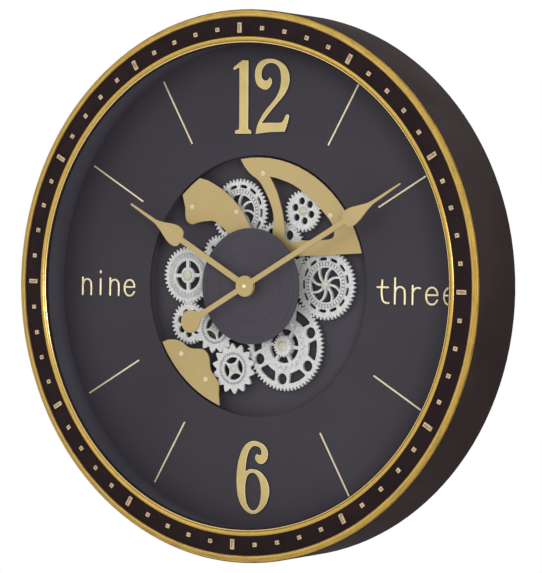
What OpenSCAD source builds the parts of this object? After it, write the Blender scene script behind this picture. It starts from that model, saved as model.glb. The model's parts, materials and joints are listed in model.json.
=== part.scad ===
// Round wall clock with an open train of moving gear wheels in its dial.
// The face looks along -Y, +Z is up, and the wall is the plane Y = 0.
// The origin is the centre of the hanger's entry hole on the wall plane.
// Heights are measured from the wall towards the viewer.

/* [Case] */
// Radius of the case drum
case_r = 300; // [280:5:360]
// Height of the front flange's face above the wall
case_depth = 76; // [70:1:100]
// Thickness of the drum's wall
case_wall = 2.5; // [1.5:0.5:4]
// Thickness of the front flange
flange_thick = 2.5; // [1.5:0.5:4]
// Thickness of the lip that carries the rear cover
lip_thick = 2; // [1:0.5:4]
// Width of that lip, inwards from the drum's wall
lip_w = 14; // [8:1:20]
// Thickness of the rear cover
cover_thick = 2.5; // [1.5:0.5:3]

/* [Bezel] */
// Width of the outer gold bead
outer_bead_w = 9.5; // [8:0.5:12]
// Width of the brown minute track
track_w = 18.5; // [16:0.5:24]
// Width of the inner gold bead
inner_bead_w = 9; // [8:0.5:12]
// Height of the outer bead above the flange
outer_bead_h = 5; // [3:0.5:7]
// Thickness of the minute track
track_thick = 2; // [1:0.5:3]
// Height of the inner gold bead above the flange
inner_bead_h = 4.5; // [3:0.5:6]
// Fall of the inner bead towards the dial
inner_bead_fall = 3; // [1:0.5:3.5]
// Width of the thin line that runs beside each bead
line_w = 1.2; // [0.8:0.1:2]
// Width of the groove between a bead and its line
groove_w = 1; // [0.6:0.1:1.5]

/* [Minute marks] */
// Place of the marks across the track, as a share of its width
mark_share = 0.4325; // [0.4:0.01:0.6]
// Radial length of an hour mark
hour_mark_l = 12; // [8:1:14]
// Width of an hour mark
hour_mark_w = 5; // [3:0.5:8]
// Length and width of a minute mark
minute_mark_w = 5; // [3:0.5:8]
// Height of the marks above the track
mark_h = 2; // [1:0.5:3]

/* [Dial] */
// Height of the dial's face above the wall
dial_h = 41; // [38:1:50]
// Thickness of the dial plate
dial_thick = 3; // [2:0.5:4]
// Radius of the dial's round opening
opening_r = 143.4; // [141:0.2:150]
// Thickness of the dark wall between the bezel and the dial
inner_wall_thick = 2; // [1:0.5:3]
// Distance that wall stands back behind the inner bead
wall_set_back = 3; // [1:0.5:5]
// Gap between the dial's opening and the raised hour lines
line_start_gap = 35.6; // [20:0.2:50]
// Gap between the hour lines and the open front's edge
line_end_gap = 3; // [1:0.5:10]
// Width of an hour line
hour_line_w = 1.8; // [1:0.2:3]
// Height of an hour line above the dial
hour_line_h = 1; // [0.6:0.2:2]
// Height of the numerals' figures, as a share of the dial's visible band
figure_share = 0.677; // [0.5:0.01:0.8]
// Thickness of the numerals
figure_thick = 2; // [1:0.5:4]
// Place of the numerals' middles, as a share of that band
figure_place_share = 0.5443; // [0.5:0.01:0.6]

/* [Gear recess] */
// Depth of the recess behind the dial's face
recess_depth = 14; // [14:0.5:20]
// Thickness of the recess pan
pan_thick = 2.5; // [1.5:0.5:4]
// Width of the pan's flange behind the dial
pan_flange_w = 12; // [8:1:20]
// Thickness of the gold bridge plates
bridge_thick = 1.6; // [1:0.2:2.4]
// Gap between the bridges' outer edges and the dial's opening
bridge_gap = 2.4; // [1:0.2:4]
// Radius of the bridge pillars
pillar_r = 3; // [2:0.5:4]
// Radius of the rivets' cream heads
rivet_r = 3; // [2:0.5:4]
// Height of the rivets' heads
rivet_h = 0.9; // [0.5:0.1:1.5]

/* [Centre disc] */
// Radius of the disc behind the hands, as a share of the opening's radius
disc_share = 0.443; // [0.4:0.005:0.46]
// Height of the disc's face above the dial
disc_rise = 11; // [9:0.5:14]
// Thickness of the disc
disc_thick = 1.5; // [1:0.5:3]
// Outer radius of the spacer under the disc
spacer_r = 8; // [7:0.5:9.5]

/* [Fine wheels] */
// Pressure angle of all the teeth, in degrees
pressure_angle = 25; // [20:1:28]
// Amount by which each tooth is narrowed for running clearance
tooth_slack = 0.3; // [0.2:0.05:0.5]
// Thickness of the wheels
wheel_thick = 3; // [2:0.25:3.4]
// Gap between the recess floor and the rear layer of wheels
floor_gap = 4; // [3:0.25:4.5]

/* [Star wheels] */
// Pressure angle of the pointed teeth, in degrees
star_pressure_angle = 38; // [34:1:40]
// Gap between the two layers of wheels
layer_gap = 1.7; // [1:0.1:2]

/* [Axles] */
// Radius of the axles that the wheels turn on
axle_r = 2; // [1.5:0.1:2.4]
// Running clearance between an axle and a bore
running_fit = 0.06; // [0.02:0.01:0.1]
// Radius of the axles' shoulders
shoulder_r = 3.6; // [3:0.2:4.5]
// Radius of the cream axle caps
cap_r = 3.3; // [2.6:0.1:4]
// Radius of the larger cap on the main wheel's pinion
main_cap_r = 6; // [4:0.5:8]
// Height of the axle caps
cap_h = 1.3; // [1:0.1:1.8]
// End float between a wheel and its shoulder or cap
end_float = 0.3; // [0.2:0.05:0.5]

/* [Hands] */
// Clock angle of the hour hand, in degrees from twelve
hour_angle = -60.5; // [-180:0.5:180]
// Clock angle of the minute hand, in degrees from twelve
minute_angle = 60.5; // [-180:0.5:180]
// Gap between the minute hand's tip and the open front's edge
minute_hand_gap = 36; // [20:1:60]
// Length of the hour hand, as a share of the minute hand's
hour_hand_share = 0.7974; // [0.7:0.01:0.85]
// Thickness of the hands
hand_thick = 1.4; // [1:0.1:2]
// Height of the hour hand's rear face above the dial
hour_hand_rise = 17.8; // [16.5:0.1:19]
// Gap between the two hands
hand_gap = 1.4; // [0.8:0.1:2]
// Radius of the hands' round bosses
boss_r = 11.5; // [9:0.5:14]
// Radius of the minute hand's counterweight
counterweight_r = 12.6; // [8:0.2:15]
// Reach of the counterweight, as a share of the minute hand's length
counterweight_share = 0.3612; // [0.3:0.01:0.4]

/* [Movement] */
// Width and height of the quartz movement
movement_w = 56; // [55:1:58]
// Depth of the movement
movement_depth = 17.5; // [17:0.5:18]
// Radius of the threaded bush
bush_r = 4; // [3.8:0.1:4.5]
// Radius of the hour tube
hour_tube_r = 2.8; // [2.6:0.05:3]
// Radius of the minute arbor
arbor_r = 1.8; // [1.5:0.05:1.9]
// Radius of the hand-setting knob
knob_r = 7.5; // [5:0.5:9]
// Height of the knob
knob_h = 3.6; // [2.5:0.1:3.8]
// Radius of a battery cell
cell_r = 7.1; // [6.9:0.05:7.2]
// Length of a cell's body
cell_l = 49; // [48:0.5:49]
// Radius of the gear motor
motor_r = 12; // [10:0.5:13]
// Depth of the gear motor
motor_depth = 15; // [12:0.5:16]

/* [Hanger] */
// Distance of the hanger's entry hole below the top of the case
hanger_drop = 75; // [60:1:90]
// Radius of the hanger's entry hole
hanger_entry_r = 5.5; // [4.5:0.5:7]
// Width of the hanger's slot
hanger_slot_w = 5; // [4:0.5:7]
// Climb of the slot above the entry hole
hanger_slot_l = 12; // [10:1:18]
// Thickness of the hanger plate
hanger_thick = 1.5; // [1:0.5:2]

/* [Hidden] */

$fn = 96;
// Overrun of every cut past the face that it opens
cut = 1;
// Gap between separate pieces that sit loosely side by side
ease = 0.3;
gold = [0.78, 0.66, 0.38];
pale_gold = [0.80, 0.70, 0.45];
brown = [0.15, 0.10, 0.10];
charcoal = [0.25, 0.24, 0.27];
case_dark = [0.17, 0.15, 0.15];
silver = [0.80, 0.80, 0.79];
cream = [0.90, 0.85, 0.72];
brass = [0.72, 0.58, 0.30];
black = [0.06, 0.06, 0.07];
steel = [0.62, 0.63, 0.65];

// Radii of the bezel and of what follows from it
outer_bead_r = case_r - outer_bead_w;
track_r = outer_bead_r - track_w;
mouth_r = track_r - inner_bead_w;
mark_circle_r = track_r + mark_share * track_w;
inner_wall_r = mouth_r + wall_set_back;
line_start_r = opening_r + line_start_gap;
line_end_r = mouth_r - line_end_gap;
dial_band = mouth_r - opening_r;
figure_tall = dial_band * figure_share;
figure_circle_r = opening_r + dial_band * figure_place_share;
bridge_r = opening_r - bridge_gap;
disc_r = opening_r * disc_share;
minute_hand_l = mouth_r - minute_hand_gap;
hour_hand_l = minute_hand_l * hour_hand_share;
counterweight_reach = minute_hand_l * counterweight_share;
hanger_rise = case_r - hanger_drop;

// Numbers of teeth
// Teeth of the main wheel, lower right
main_teeth = 64;
// Teeth of the right wheel
right_teeth = 49;
// Teeth of the wheel behind the centre disc
centre_teeth = 44;
// Teeth of the top wheel
top_teeth = 47;
// Teeth of the six-hole wheel
window_teeth = 29;
// Teeth of the small idler
idler_teeth = 24;
// Teeth of the left wheel
left_teeth = 41;
// Teeth of the lower left wheel
lower_teeth = 30;
// Teeth of the pinion behind the inner star wheel
star_pinion_teeth = 21;
// Teeth of the motor's pinion
motor_teeth = 12;
// Teeth of each star wheel
star_teeth = 14;

// Modules: the whole train fills the dial's opening, and each wheel's own sizes
// are counted in modules of the fine teeth
fine_module = opening_r / 95.6;
star_module = fine_module * 2.4133;
star_pitch_r = star_module * star_teeth / 2;
star_root_r = star_pitch_r - star_module * 0.77;
star_tip_r = star_pitch_r + star_module * 0.71;

// Heights of the stack, from the wall towards the viewer
cover_h = hanger_thick;
lip_h = cover_h + cover_thick;
flange_h = case_depth - flange_thick;
floor_h = dial_h - recess_depth;
floor_back_h = floor_h - pan_thick;
dial_back_h = dial_h - dial_thick;
rear_layer_h = floor_h + floor_gap;
front_layer_h = rear_layer_h + wheel_thick + layer_gap;
bridge_h = dial_h - bridge_thick;
disc_h = dial_h + disc_rise - disc_thick;
hour_hand_h = dial_h + hour_hand_rise;
minute_hand_h = hour_hand_h + hand_thick + hand_gap;

// Points and bearings: bearings run anticlockwise from the viewer's right
function polar(r, a) = [r * cos(a), r * sin(a)];
function clock_polar(r, a) = [r * sin(a), r * cos(a)];

// Places of the wheels: each one is set by its neighbour's teeth and a bearing
function mesh(a, b) = fine_module * (a + b) / 2;
right_bearing = 52.9;
centre_bearing = 150.4;
top_bearing = 140.1;
window_bearing = 56;
idler_bearing = -121.7;
left_bearing = -147.8;
lower_bearing = -86.7;
inner_star_bearing = -6.5;
outer_star_bearing = -60.4;
motor_bearing = 55.8;
main_reach = 49 * fine_module;
main_at = polar(main_reach, -61.5);
right_at = main_at + polar(mesh(main_teeth, right_teeth), right_bearing);
centre_at = right_at + polar(mesh(right_teeth, centre_teeth), centre_bearing);
top_at = centre_at + polar(mesh(centre_teeth, top_teeth), top_bearing);
window_at = centre_at + polar(mesh(centre_teeth, window_teeth), window_bearing);
idler_at = top_at + polar(mesh(top_teeth, idler_teeth), idler_bearing);
left_at = idler_at + polar(mesh(idler_teeth, left_teeth), left_bearing);
lower_at = left_at + polar(mesh(left_teeth, lower_teeth), lower_bearing);
inner_star_at = lower_at + polar(mesh(lower_teeth, star_pinion_teeth), inner_star_bearing);
outer_star_at = inner_star_at + polar(star_module * star_teeth, outer_star_bearing);
motor_at = window_at + polar(mesh(window_teeth, motor_teeth), motor_bearing);

// Angle of a tooth's middle on each wheel, so that every pair is in mesh at rest
function mesh_phase(bearing, phase, teeth, next_teeth) =
    bearing + 180 - (0.5 - (bearing - phase) * teeth / 360) * 360 / next_teeth;
main_phase = 0;
right_phase = mesh_phase(right_bearing, main_phase, main_teeth, right_teeth);
centre_phase = mesh_phase(centre_bearing, right_phase, right_teeth, centre_teeth);
top_phase = mesh_phase(top_bearing, centre_phase, centre_teeth, top_teeth);
window_phase = mesh_phase(window_bearing, centre_phase, centre_teeth, window_teeth);
idler_phase = mesh_phase(idler_bearing, top_phase, top_teeth, idler_teeth);
left_phase = mesh_phase(left_bearing, idler_phase, idler_teeth, left_teeth);
lower_phase = mesh_phase(lower_bearing, left_phase, left_teeth, lower_teeth);
star_pinion_phase =
    mesh_phase(inner_star_bearing, lower_phase, lower_teeth, star_pinion_teeth);
inner_star_phase = 4;
outer_star_phase =
    mesh_phase(outer_star_bearing, inner_star_phase, star_teeth, star_teeth);
motor_phase = mesh_phase(motor_bearing, window_phase, window_teeth, motor_teeth);

// Turns a piece drawn on the page, with its height as z, to face the viewer
module face_on() {
    translate([0, 0, -hanger_rise])
        rotate([90, 0, 0])
            children();
}

module ring(outer, inner, thick) {
    difference() {
        cylinder(r = outer, h = thick);
        translate([0, 0, -cut])
            cylinder(r = inner, h = thick + 2 * cut);
    }
}

// A band turned about the dial's axis from an outline of [radius, height] points
module turned(outline) {
    rotate_extrude($fn = 180)
        polygon(outline);
}

module at(place, height = 0) {
    translate([place[0], place[1], height])
        children();
}

// Outlines
function arc(r, from, to, steps) =
    [for (i = [0:steps]) polar(r, from + (to - from) * i / steps)];
function bezier(a, b, c, d, t) =
    a * pow(1 - t, 3) + b * 3 * t * pow(1 - t, 2) + c * 3 * t * t * (1 - t) + d * pow(t, 3);
function curve(a, b, c, d, steps) =
    [for (i = [0:steps - 1]) bezier(a, b, c, d, i / steps)];

// A smooth curve through a list of points, with a few steps between each two
function through(p, steps) = [
    for (i = [0:len(p) - 2], s = [0:steps - 1])
        let (
            before = p[max(i - 1, 0)],
            after = p[min(i + 2, len(p) - 1)])
        bezier(p[i], p[i] + (p[i + 1] - before) / 6,
            p[i + 1] - (after - p[i]) / 6, p[i + 1], s / steps),
    p[len(p) - 1]];

// Involute teeth
function involute(a) = tan(a) * 180 / PI - a;
function half_tooth(r, pitch_r, teeth, pressure) =
    let (base_r = pitch_r * cos(pressure))
    90 / teeth - tooth_slack / 2 / pitch_r * 180 / PI + involute(pressure)
        - involute(acos(min(1, base_r / r)));
flank_shares = [0, 0.35, 0.7, 1];
function tooth_outline(teeth, root_r, tip_r, pitch_r, phase, pressure) = [
    for (k = [0:teeth - 1], side = [-1, 1], i = [0:len(flank_shares) - 1])
        let (
            share = flank_shares[side < 0 ? i : len(flank_shares) - 1 - i],
            r = root_r + (tip_r - root_r) * share)
        polar(r, phase + k * 360 / teeth + side * half_tooth(r, pitch_r, teeth, pressure))];
function pitch_of(teeth) = fine_module * teeth / 2;
function tip_of(teeth) = pitch_of(teeth) + fine_module;
function root_of(teeth) = pitch_of(teeth) - fine_module * 1.25;

module fine_teeth(teeth, phase, thick) {
    linear_extrude(thick)
        polygon(tooth_outline(teeth, root_of(teeth), tip_of(teeth), pitch_of(teeth), phase,
            pressure_angle));
}

module star_teeth_plate(phase, thick) {
    linear_extrude(thick)
        polygon(tooth_outline(star_teeth, star_root_r, star_tip_r, star_pitch_r, phase,
            star_pressure_angle));
}

// Cuts through wheels
module through_cut(height) {
    translate([0, 0, -cut])
        linear_extrude(height + 2 * cut)
            children();
}

module round_holes(count, place_r, hole_r, height, turn) {
    for (k = [0:count - 1])
        at(polar(place_r, turn + k * 360 / count), -cut)
            cylinder(r = hole_r, h = height + 2 * cut, $fn = 32);
}

// Windows bounded by two arcs and two sides; twist leans the sides over
module sector_windows(count, inner_r, outer_r, rib_w, height, turn, twist = 0, steps = 6) {
    through_cut(height)
        for (k = [0:count - 1])
            rotate(turn + k * 360 / count)
                polygon(sector_outline(360 / count, inner_r, outer_r, rib_w, twist, steps));
}
lean_power = 1.6;
function lean(r, inner_r, outer_r, twist) = twist * pow((r - inner_r) / (outer_r - inner_r), lean_power);
function sector_outline(span, inner_r, outer_r, rib_w, twist, steps) =
    let (
        from_in = rib_w / 2 / inner_r * 180 / PI,
        from_out = rib_w / 2 / outer_r * 180 / PI,
        radii = [for (i = [0:steps]) inner_r + (outer_r - inner_r) * i / steps])
    concat(
        [for (r = radii)
            polar(r, lean(r, inner_r, outer_r, twist) + rib_w / 2 / r * 180 / PI)],
        arc(outer_r, twist + from_out, twist + span - from_out, steps),
        [for (i = [steps:-1:0]) polar(radii[i],
            lean(radii[i], inner_r, outer_r, twist) + span - rib_w / 2 / radii[i] * 180 / PI)],
        arc(inner_r, span - from_in, from_in, steps));

// A window between two arcs with its four corners rounded
function rounded_sector(inner_r, outer_r, half_in, half_out, corner) =
    let (
        in_turn = half_in - corner / (inner_r + corner) * 180 / PI,
        out_turn = half_out - corner / (outer_r - corner) * 180 / PI,
        in_c = inner_r + corner,
        out_c = outer_r - corner)
    concat(
        arc(outer_r, -out_turn, out_turn, 4),
        [for (s = [1:3]) polar(out_c, out_turn) + polar(corner, half_out + 30 * s)],
        [for (s = [3:5]) polar(in_c, in_turn) + polar(corner, half_in + 30 * s)],
        arc(inner_r, in_turn, -in_turn, 4),
        [for (s = [1:3]) polar(in_c, -in_turn) + polar(corner, 180 - half_in + 30 * s)],
        [for (s = [3:5]) polar(out_c, -out_turn) + polar(corner, 180 - half_out + 30 * s)]);

// A lens between the rim's arc and a curve that bulges towards the hub
function lens_outline(outer_r, half, reach) =
    let (
        tip = polar(outer_r, half),
        pull = (4 * reach - tip[0]) / 3)
    concat(
        arc(outer_r, -half, half, 8),
        [for (i = [1:7]) bezier(tip, [pull, tip[1] * 0.6], [pull, -tip[1] * 0.6],
            [tip[0], -tip[1]], i / 8)]);

module axle_bore(height) {
    translate([0, 0, -cut])
        cylinder(r = axle_r + running_fit, h = height + 2 * cut);
}

// Case
module case_drum() {
    color(case_dark)
        face_on()
            turned([
                [case_r - case_wall, 0], [case_r, 0], [case_r, case_depth],
                [mouth_r, case_depth], [mouth_r, flange_h], [case_r - case_wall, flange_h],
                [case_r - case_wall, lip_h + lip_thick], [lip_r, lip_h + lip_thick],
                [lip_r, lip_h], [case_r - case_wall, lip_h]]);
}
lip_r = case_r - case_wall - lip_w;
cover_r = case_r - case_wall - ease;
screw_circle_r = (lip_r + cover_r) / 2;
screw_r = 1.6;
screw_head_r = 3.2;
screw_head_h = 1.2;

// The window in the cover leaves the movement's cell and knob within reach
window_ease = 1;
movement_window = movement_w + 2 * window_ease;
slot_room = 3.5;

module rear_cover() {
    color(case_dark)
        face_on()
            at([0, 0], cover_h)
                difference() {
                    cylinder(r = cover_r, h = cover_thick, $fn = 180);
                    translate([-movement_window / 2, -movement_window / 2, -cut])
                        cube([movement_window, movement_window, cover_thick + 2 * cut]);
                    at(cell_box_at, -cut)
                        translate([-cell_box_l / 2, -cell_box_w / 2, 0])
                            cube([cell_box_l, cell_box_w, cover_thick + 2 * cut]);
                    for (rise = [0, hanger_slot_l])
                        at([0, hanger_rise + rise], -cut)
                            cylinder(r = hanger_entry_r + slot_room, h = cover_thick + 2 * cut);
                    translate([-hanger_entry_r - slot_room, hanger_rise, -cut])
                        cube([2 * (hanger_entry_r + slot_room), hanger_slot_l, cover_thick + 2 * cut]);
                    for (k = [0:cover_screw_count - 1])
                        at(polar(screw_circle_r, cover_screw_turn + k * 360 / cover_screw_count), -cut)
                            cylinder(r = screw_r + ease, h = cover_thick + 2 * cut, $fn = 32);
                }
}
cover_screw_count = 8;
cover_screw_turn = 22.5;

module cover_screws() {
    color(steel)
        face_on()
            for (k = [0:cover_screw_count - 1])
                at(polar(screw_circle_r, cover_screw_turn + k * 360 / cover_screw_count)) {
                    translate([0, 0, cover_h - screw_head_h])
                        cylinder(r = screw_head_r, h = screw_head_h, $fn = 32);
                    translate([0, 0, cover_h])
                        cylinder(r = screw_r, h = cover_thick, $fn = 32);
                }
}

hanger_w = 34;
hanger_tall = 44;
hanger_corner = 3;
hanger_rivet_reach = 14;
hanger_rivet_r = 2;
function rounded_plate(wide, tall, corner) = [
    for (k = [0:3], step = [0:6])
        let (turn = 90 * k + 15 * step,
             side = k == 0 || k == 3 ? 1 : -1,
             up = k < 2 ? 1 : -1)
            [side * (wide / 2 - corner) + corner * cos(turn),
             up * (tall / 2 - corner) + corner * sin(turn)]];

module hanger_plate() {
    color(steel)
        face_on()
            difference() {
                at([0, hanger_rise + hanger_slot_l / 2])
                    linear_extrude(height = hanger_thick)
                        polygon(rounded_plate(hanger_w, hanger_tall, hanger_corner));
                at([0, hanger_rise], -cut)
                    cylinder(r = hanger_entry_r, h = hanger_thick + 2 * cut);
                at([0, hanger_rise + hanger_slot_l], -cut)
                    cylinder(r = hanger_slot_w / 2, h = hanger_thick + 2 * cut);
                translate([-hanger_slot_w / 2, hanger_rise, -cut])
                    cube([hanger_slot_w, hanger_slot_l, hanger_thick + 2 * cut]);
                for (side = [-1, 1])
                    at([side * hanger_rivet_reach, hanger_rise + hanger_slot_l / 2], -cut)
                        cylinder(r = hanger_rivet_r, h = hanger_thick + 2 * cut, $fn = 32);
            }
}

module hanger_rivets() {
    color(steel)
        face_on()
            for (side = [-1, 1])
                at([side * hanger_rivet_reach, hanger_rise + hanger_slot_l / 2]) {
                    cylinder(r = hanger_rivet_r, h = hanger_thick, $fn = 32);
                    translate([0, 0, lip_h])
                        cylinder(r = hanger_rivet_r + hanger_thick / 2, h = hanger_thick, $fn = 32);
                }
}

// Bezel
module outer_rim() {
    color(gold)
        face_on()
            turned([
                [outer_bead_r, case_depth],
                [outer_bead_r, case_depth + outer_bead_h * 0.55],
                [outer_bead_r + line_w * 0.6, case_depth + outer_bead_h * 0.86],
                [outer_bead_r + line_w * 1.6, case_depth + outer_bead_h],
                [bead_line_r - groove_w * 2, case_depth + outer_bead_h],
                [bead_line_r - groove_w, case_depth + outer_bead_h * 0.84],
                [bead_line_r - groove_w, case_depth + outer_bead_h * 0.6],
                [bead_line_r, case_depth + outer_bead_h * 0.6],
                [bead_line_r, case_depth + outer_bead_h * 0.8],
                [bead_line_r + line_w * 0.6, case_depth + outer_bead_h * 0.8],
                [case_r, case_depth + outer_bead_h * 0.5],
                [case_r, case_depth]]);
}
bead_line_r = case_r - line_w - groove_w * 0.4;

module minute_track() {
    color(brown)
        face_on()
            at([0, 0], case_depth)
                ring(outer_bead_r, track_r, track_thick);
}

module inner_rim() {
    color(gold)
        face_on()
            turned([
                [mouth_r, case_depth],
                [mouth_r, inner_edge_h],
                [mouth_r + line_w, inner_edge_h + line_w * 0.3],
                [mouth_r + line_w + groove_w * 0.3, inner_edge_h - line_w * 0.5],
                [mouth_r + line_w + groove_w, inner_edge_h - line_w * 0.5],
                [mouth_r + line_w + groove_w * 1.3, inner_edge_h + inner_bead_fall * 0.5],
                [mouth_r + line_w + groove_w * 3, case_depth + inner_bead_h * 0.94],
                [mouth_r + line_w + groove_w * 4.6, case_depth + inner_bead_h],
                [track_r - line_w, case_depth + inner_bead_h * 0.93],
                [track_r, case_depth + inner_bead_h * 0.62],
                [track_r, case_depth]]);
}
inner_edge_h = case_depth + inner_bead_h - inner_bead_fall;

module mark(place_angle, long, wide) {
    rotate(-place_angle)
        translate([-wide / 2, mark_circle_r - long / 2, case_depth + track_thick])
            cube([wide, long, mark_h]);
}

module hour_marks() {
    color(pale_gold)
        face_on()
            for (k = [0:11])
                mark(k * 30, hour_mark_l, hour_mark_w);
}

module minute_marks() {
    color(pale_gold)
        face_on()
            for (k = [0:59])
                if (k % 5 != 0)
                    mark(k * 6, minute_mark_w, minute_mark_w);
}

// Dark wall between the bezel and the dial, hung on the front flange by screws
wall_flange_w = 14;
wall_flange_thick = 2;
wall_flange_r = inner_wall_r + inner_wall_thick + wall_flange_w;
wall_screw_r = inner_wall_r + inner_wall_thick + wall_flange_w / 2;
wall_screw_count = 8;
module inner_wall() {
    color(charcoal)
        face_on()
            difference() {
                turned([
                    [inner_wall_r, dial_back_h], [inner_wall_r + inner_wall_thick, dial_back_h],
                    [inner_wall_r + inner_wall_thick, flange_h - wall_flange_thick],
                    [wall_flange_r, flange_h - wall_flange_thick], [wall_flange_r, flange_h],
                    [inner_wall_r, flange_h]]);
                for (k = [0:wall_screw_count - 1])
                    at(polar(wall_screw_r, k * 360 / wall_screw_count), flange_h - wall_flange_thick - cut)
                        cylinder(r = screw_r, h = wall_flange_thick + 2 * cut, $fn = 32);
            }
}

module wall_screws() {
    color(steel)
        face_on()
            for (k = [0:wall_screw_count - 1])
                at(polar(wall_screw_r, k * 360 / wall_screw_count), flange_h - wall_flange_thick) {
                    cylinder(r = screw_r, h = wall_flange_thick, $fn = 32);
                    translate([0, 0, -screw_head_h])
                        cylinder(r = screw_head_r, h = screw_head_h, $fn = 32);
                }
}

// Dial
module dial_plate() {
    color(charcoal)
        face_on()
            at([0, 0], dial_back_h)
                ring(inner_wall_r, opening_r, dial_thick);
}

module hour_lines() {
    color(pale_gold)
        face_on()
            for (k = [0:11])
                if (k % 3 != 0)
                    rotate(-k * 30)
                        translate([-hour_line_w / 2, line_start_r, dial_h])
                            cube([hour_line_w, line_end_r - line_start_r, hour_line_h]);
}

// A stroke of changing width along a curve; places and half-widths are shares
// of the figure's height
function stroke(path, halves, steps) =
    let (
        line = through(path, steps),
        wide = through([for (w = halves) [w, 0]], steps),
        last = len(line) - 1,
        side = [for (i = [0:last])
            let (d = line[min(i + 1, last)] - line[max(i - 1, 0)])
            [-d[1], d[0]] / norm(d)])
    concat(
        [for (i = [0:last]) line[i] + side[i] * wide[i][0]],
        [for (i = [last:-1:0]) line[i] - side[i] * wide[i][0]]);

module figure_stroke(path, halves, steps = 4) {
    polygon(figure_tall * stroke(path, halves, steps));
}

module figure_ball(place, r) {
    translate(figure_tall * place)
        circle(r = figure_tall * r, $fn = 40);
}

one_stem_shares = [[-0.305, 0.058], [-0.32, 0.876], [-0.18, 0.98], [-0.164, 0.056]];
one_foot_shares = [[-0.377, -0.015], [-0.373, 0.024], [-0.352, 0.041], [-0.305, 0.058],
    [-0.164, 0.056], [-0.128, 0.043], [-0.112, 0.021], [-0.111, -0.017]];
one_flag_shares = [[-0.28, 0.987], [-0.18, 0.984], [-0.3, 0.86], [-0.33, 0.88],
    [-0.419, 0.856], [-0.429, 0.874]];
two_shares = [[0.187, 0.998], [0.332, 0.975], [0.425, 0.921], [0.477, 0.835], [0.494, 0.749],
    [0.47, 0.656], [0.411, 0.546], [0.31, 0.428], [0.209, 0.327], [0.128, 0.225],
    [0.068, 0.135], [0.377, 0.144], [0.412, 0.178], [0.437, 0.221], [0.466, 0.246],
    [0.498, 0.237], [0.503, 0.22], [0.469, 0.126], [0.425, 0.007], [0.204, 0.009],
    [-0.043, -0.018], [-0.014, 0.106], [0.026, 0.192], [0.106, 0.311], [0.197, 0.438],
    [0.287, 0.557], [0.337, 0.658], [0.356, 0.744], [0.339, 0.829], [0.302, 0.89],
    [0.25, 0.926], [0.178, 0.932], [0.106, 0.912], [0.061, 0.862], [0.041, 0.802],
    [0.047, 0.75], [0.079, 0.715], [0.12, 0.706], [0.151, 0.722], [0.176, 0.752],
    [0.202, 0.734], [0.218, 0.704], [0.204, 0.653], [0.153, 0.602], [0.091, 0.573],
    [0.039, 0.596], [-0.024, 0.64], [-0.056, 0.701], [-0.057, 0.796], [-0.028, 0.881],
    [0.033, 0.953], [0.115, 0.989]];
six_path_shares = [[0.215, 0.86], [0.18, 0.935], [0.075, 0.985], [-0.06, 0.93],
    [-0.165, 0.78], [-0.215, 0.56], [-0.215, 0.36], [-0.17, 0.15], [-0.03, 0.012],
    [0.11, 0.06], [0.195, 0.2], [0.2, 0.38], [0.12, 0.54], [-0.01, 0.59], [-0.12, 0.52]];
six_half_shares = [0.012, 0.014, 0.016, 0.03, 0.054, 0.07, 0.072, 0.054, 0.02, 0.034, 0.064,
    0.066, 0.038, 0.018, 0.012];
six_ball_share = [0.175, 0.79];
ball_share = 0.082;
twelve_shift = 1.5;

module numeral_12() {
    color(pale_gold)
        face_on()
            translate([twelve_shift, figure_circle_r - figure_tall / 2, dial_h])
                linear_extrude(figure_thick) {
                    polygon(figure_tall * one_stem_shares);
                    polygon(figure_tall * one_foot_shares);
                    polygon(figure_tall * one_flag_shares);
                    polygon(figure_tall * two_shares);
                }
}

module numeral_6() {
    color(pale_gold)
        face_on()
            translate([0, -figure_circle_r - figure_tall / 2, dial_h])
                linear_extrude(figure_thick) {
                    figure_stroke(six_path_shares, six_half_shares);
                    figure_ball(six_ball_share, ball_share);
                }
}

// Recess behind the dial's opening
pan_clearance = 1.5;
pan_inner_r = opening_r + pan_clearance;
pan_r = pan_inner_r + pan_thick;
pan_screw_count = 6;
pan_screw_turn = 15;
pan_screw_at_r = pan_r + pan_flange_w * 0.55;
motor_hole_r = 3;
module recess_pan() {
    color(charcoal)
        face_on()
            difference() {
                turned([
                    [0, floor_back_h], [pan_r, floor_back_h],
                    [pan_r, dial_back_h - pan_thick],
                    [pan_r + pan_flange_w, dial_back_h - pan_thick],
                    [pan_r + pan_flange_w, dial_back_h], [pan_inner_r, dial_back_h],
                    [pan_inner_r, floor_h], [0, floor_h]]);
                at([0, 0], floor_back_h - cut)
                    cylinder(r = bush_r + ease, h = pan_thick + 2 * cut);
                at(motor_at, floor_back_h - cut)
                    cylinder(r = motor_hole_r, h = pan_thick + 2 * cut);
                for (k = [0:pan_screw_count - 1])
                    at(polar(pan_screw_at_r, pan_screw_turn + k * 360 / pan_screw_count),
                        dial_back_h - pan_thick - cut)
                        cylinder(r = screw_r, h = pan_thick + 2 * cut, $fn = 32);
            }
}

module pan_screws() {
    color(steel)
        face_on()
            for (k = [0:pan_screw_count - 1])
                at(polar(pan_screw_at_r, pan_screw_turn + k * 360 / pan_screw_count),
                    dial_back_h - pan_thick) {
                    cylinder(r = screw_r, h = pan_thick, $fn = 32);
                    translate([0, 0, -screw_head_h])
                        cylinder(r = screw_head_r, h = screw_head_h, $fn = 32);
                }
}

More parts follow.
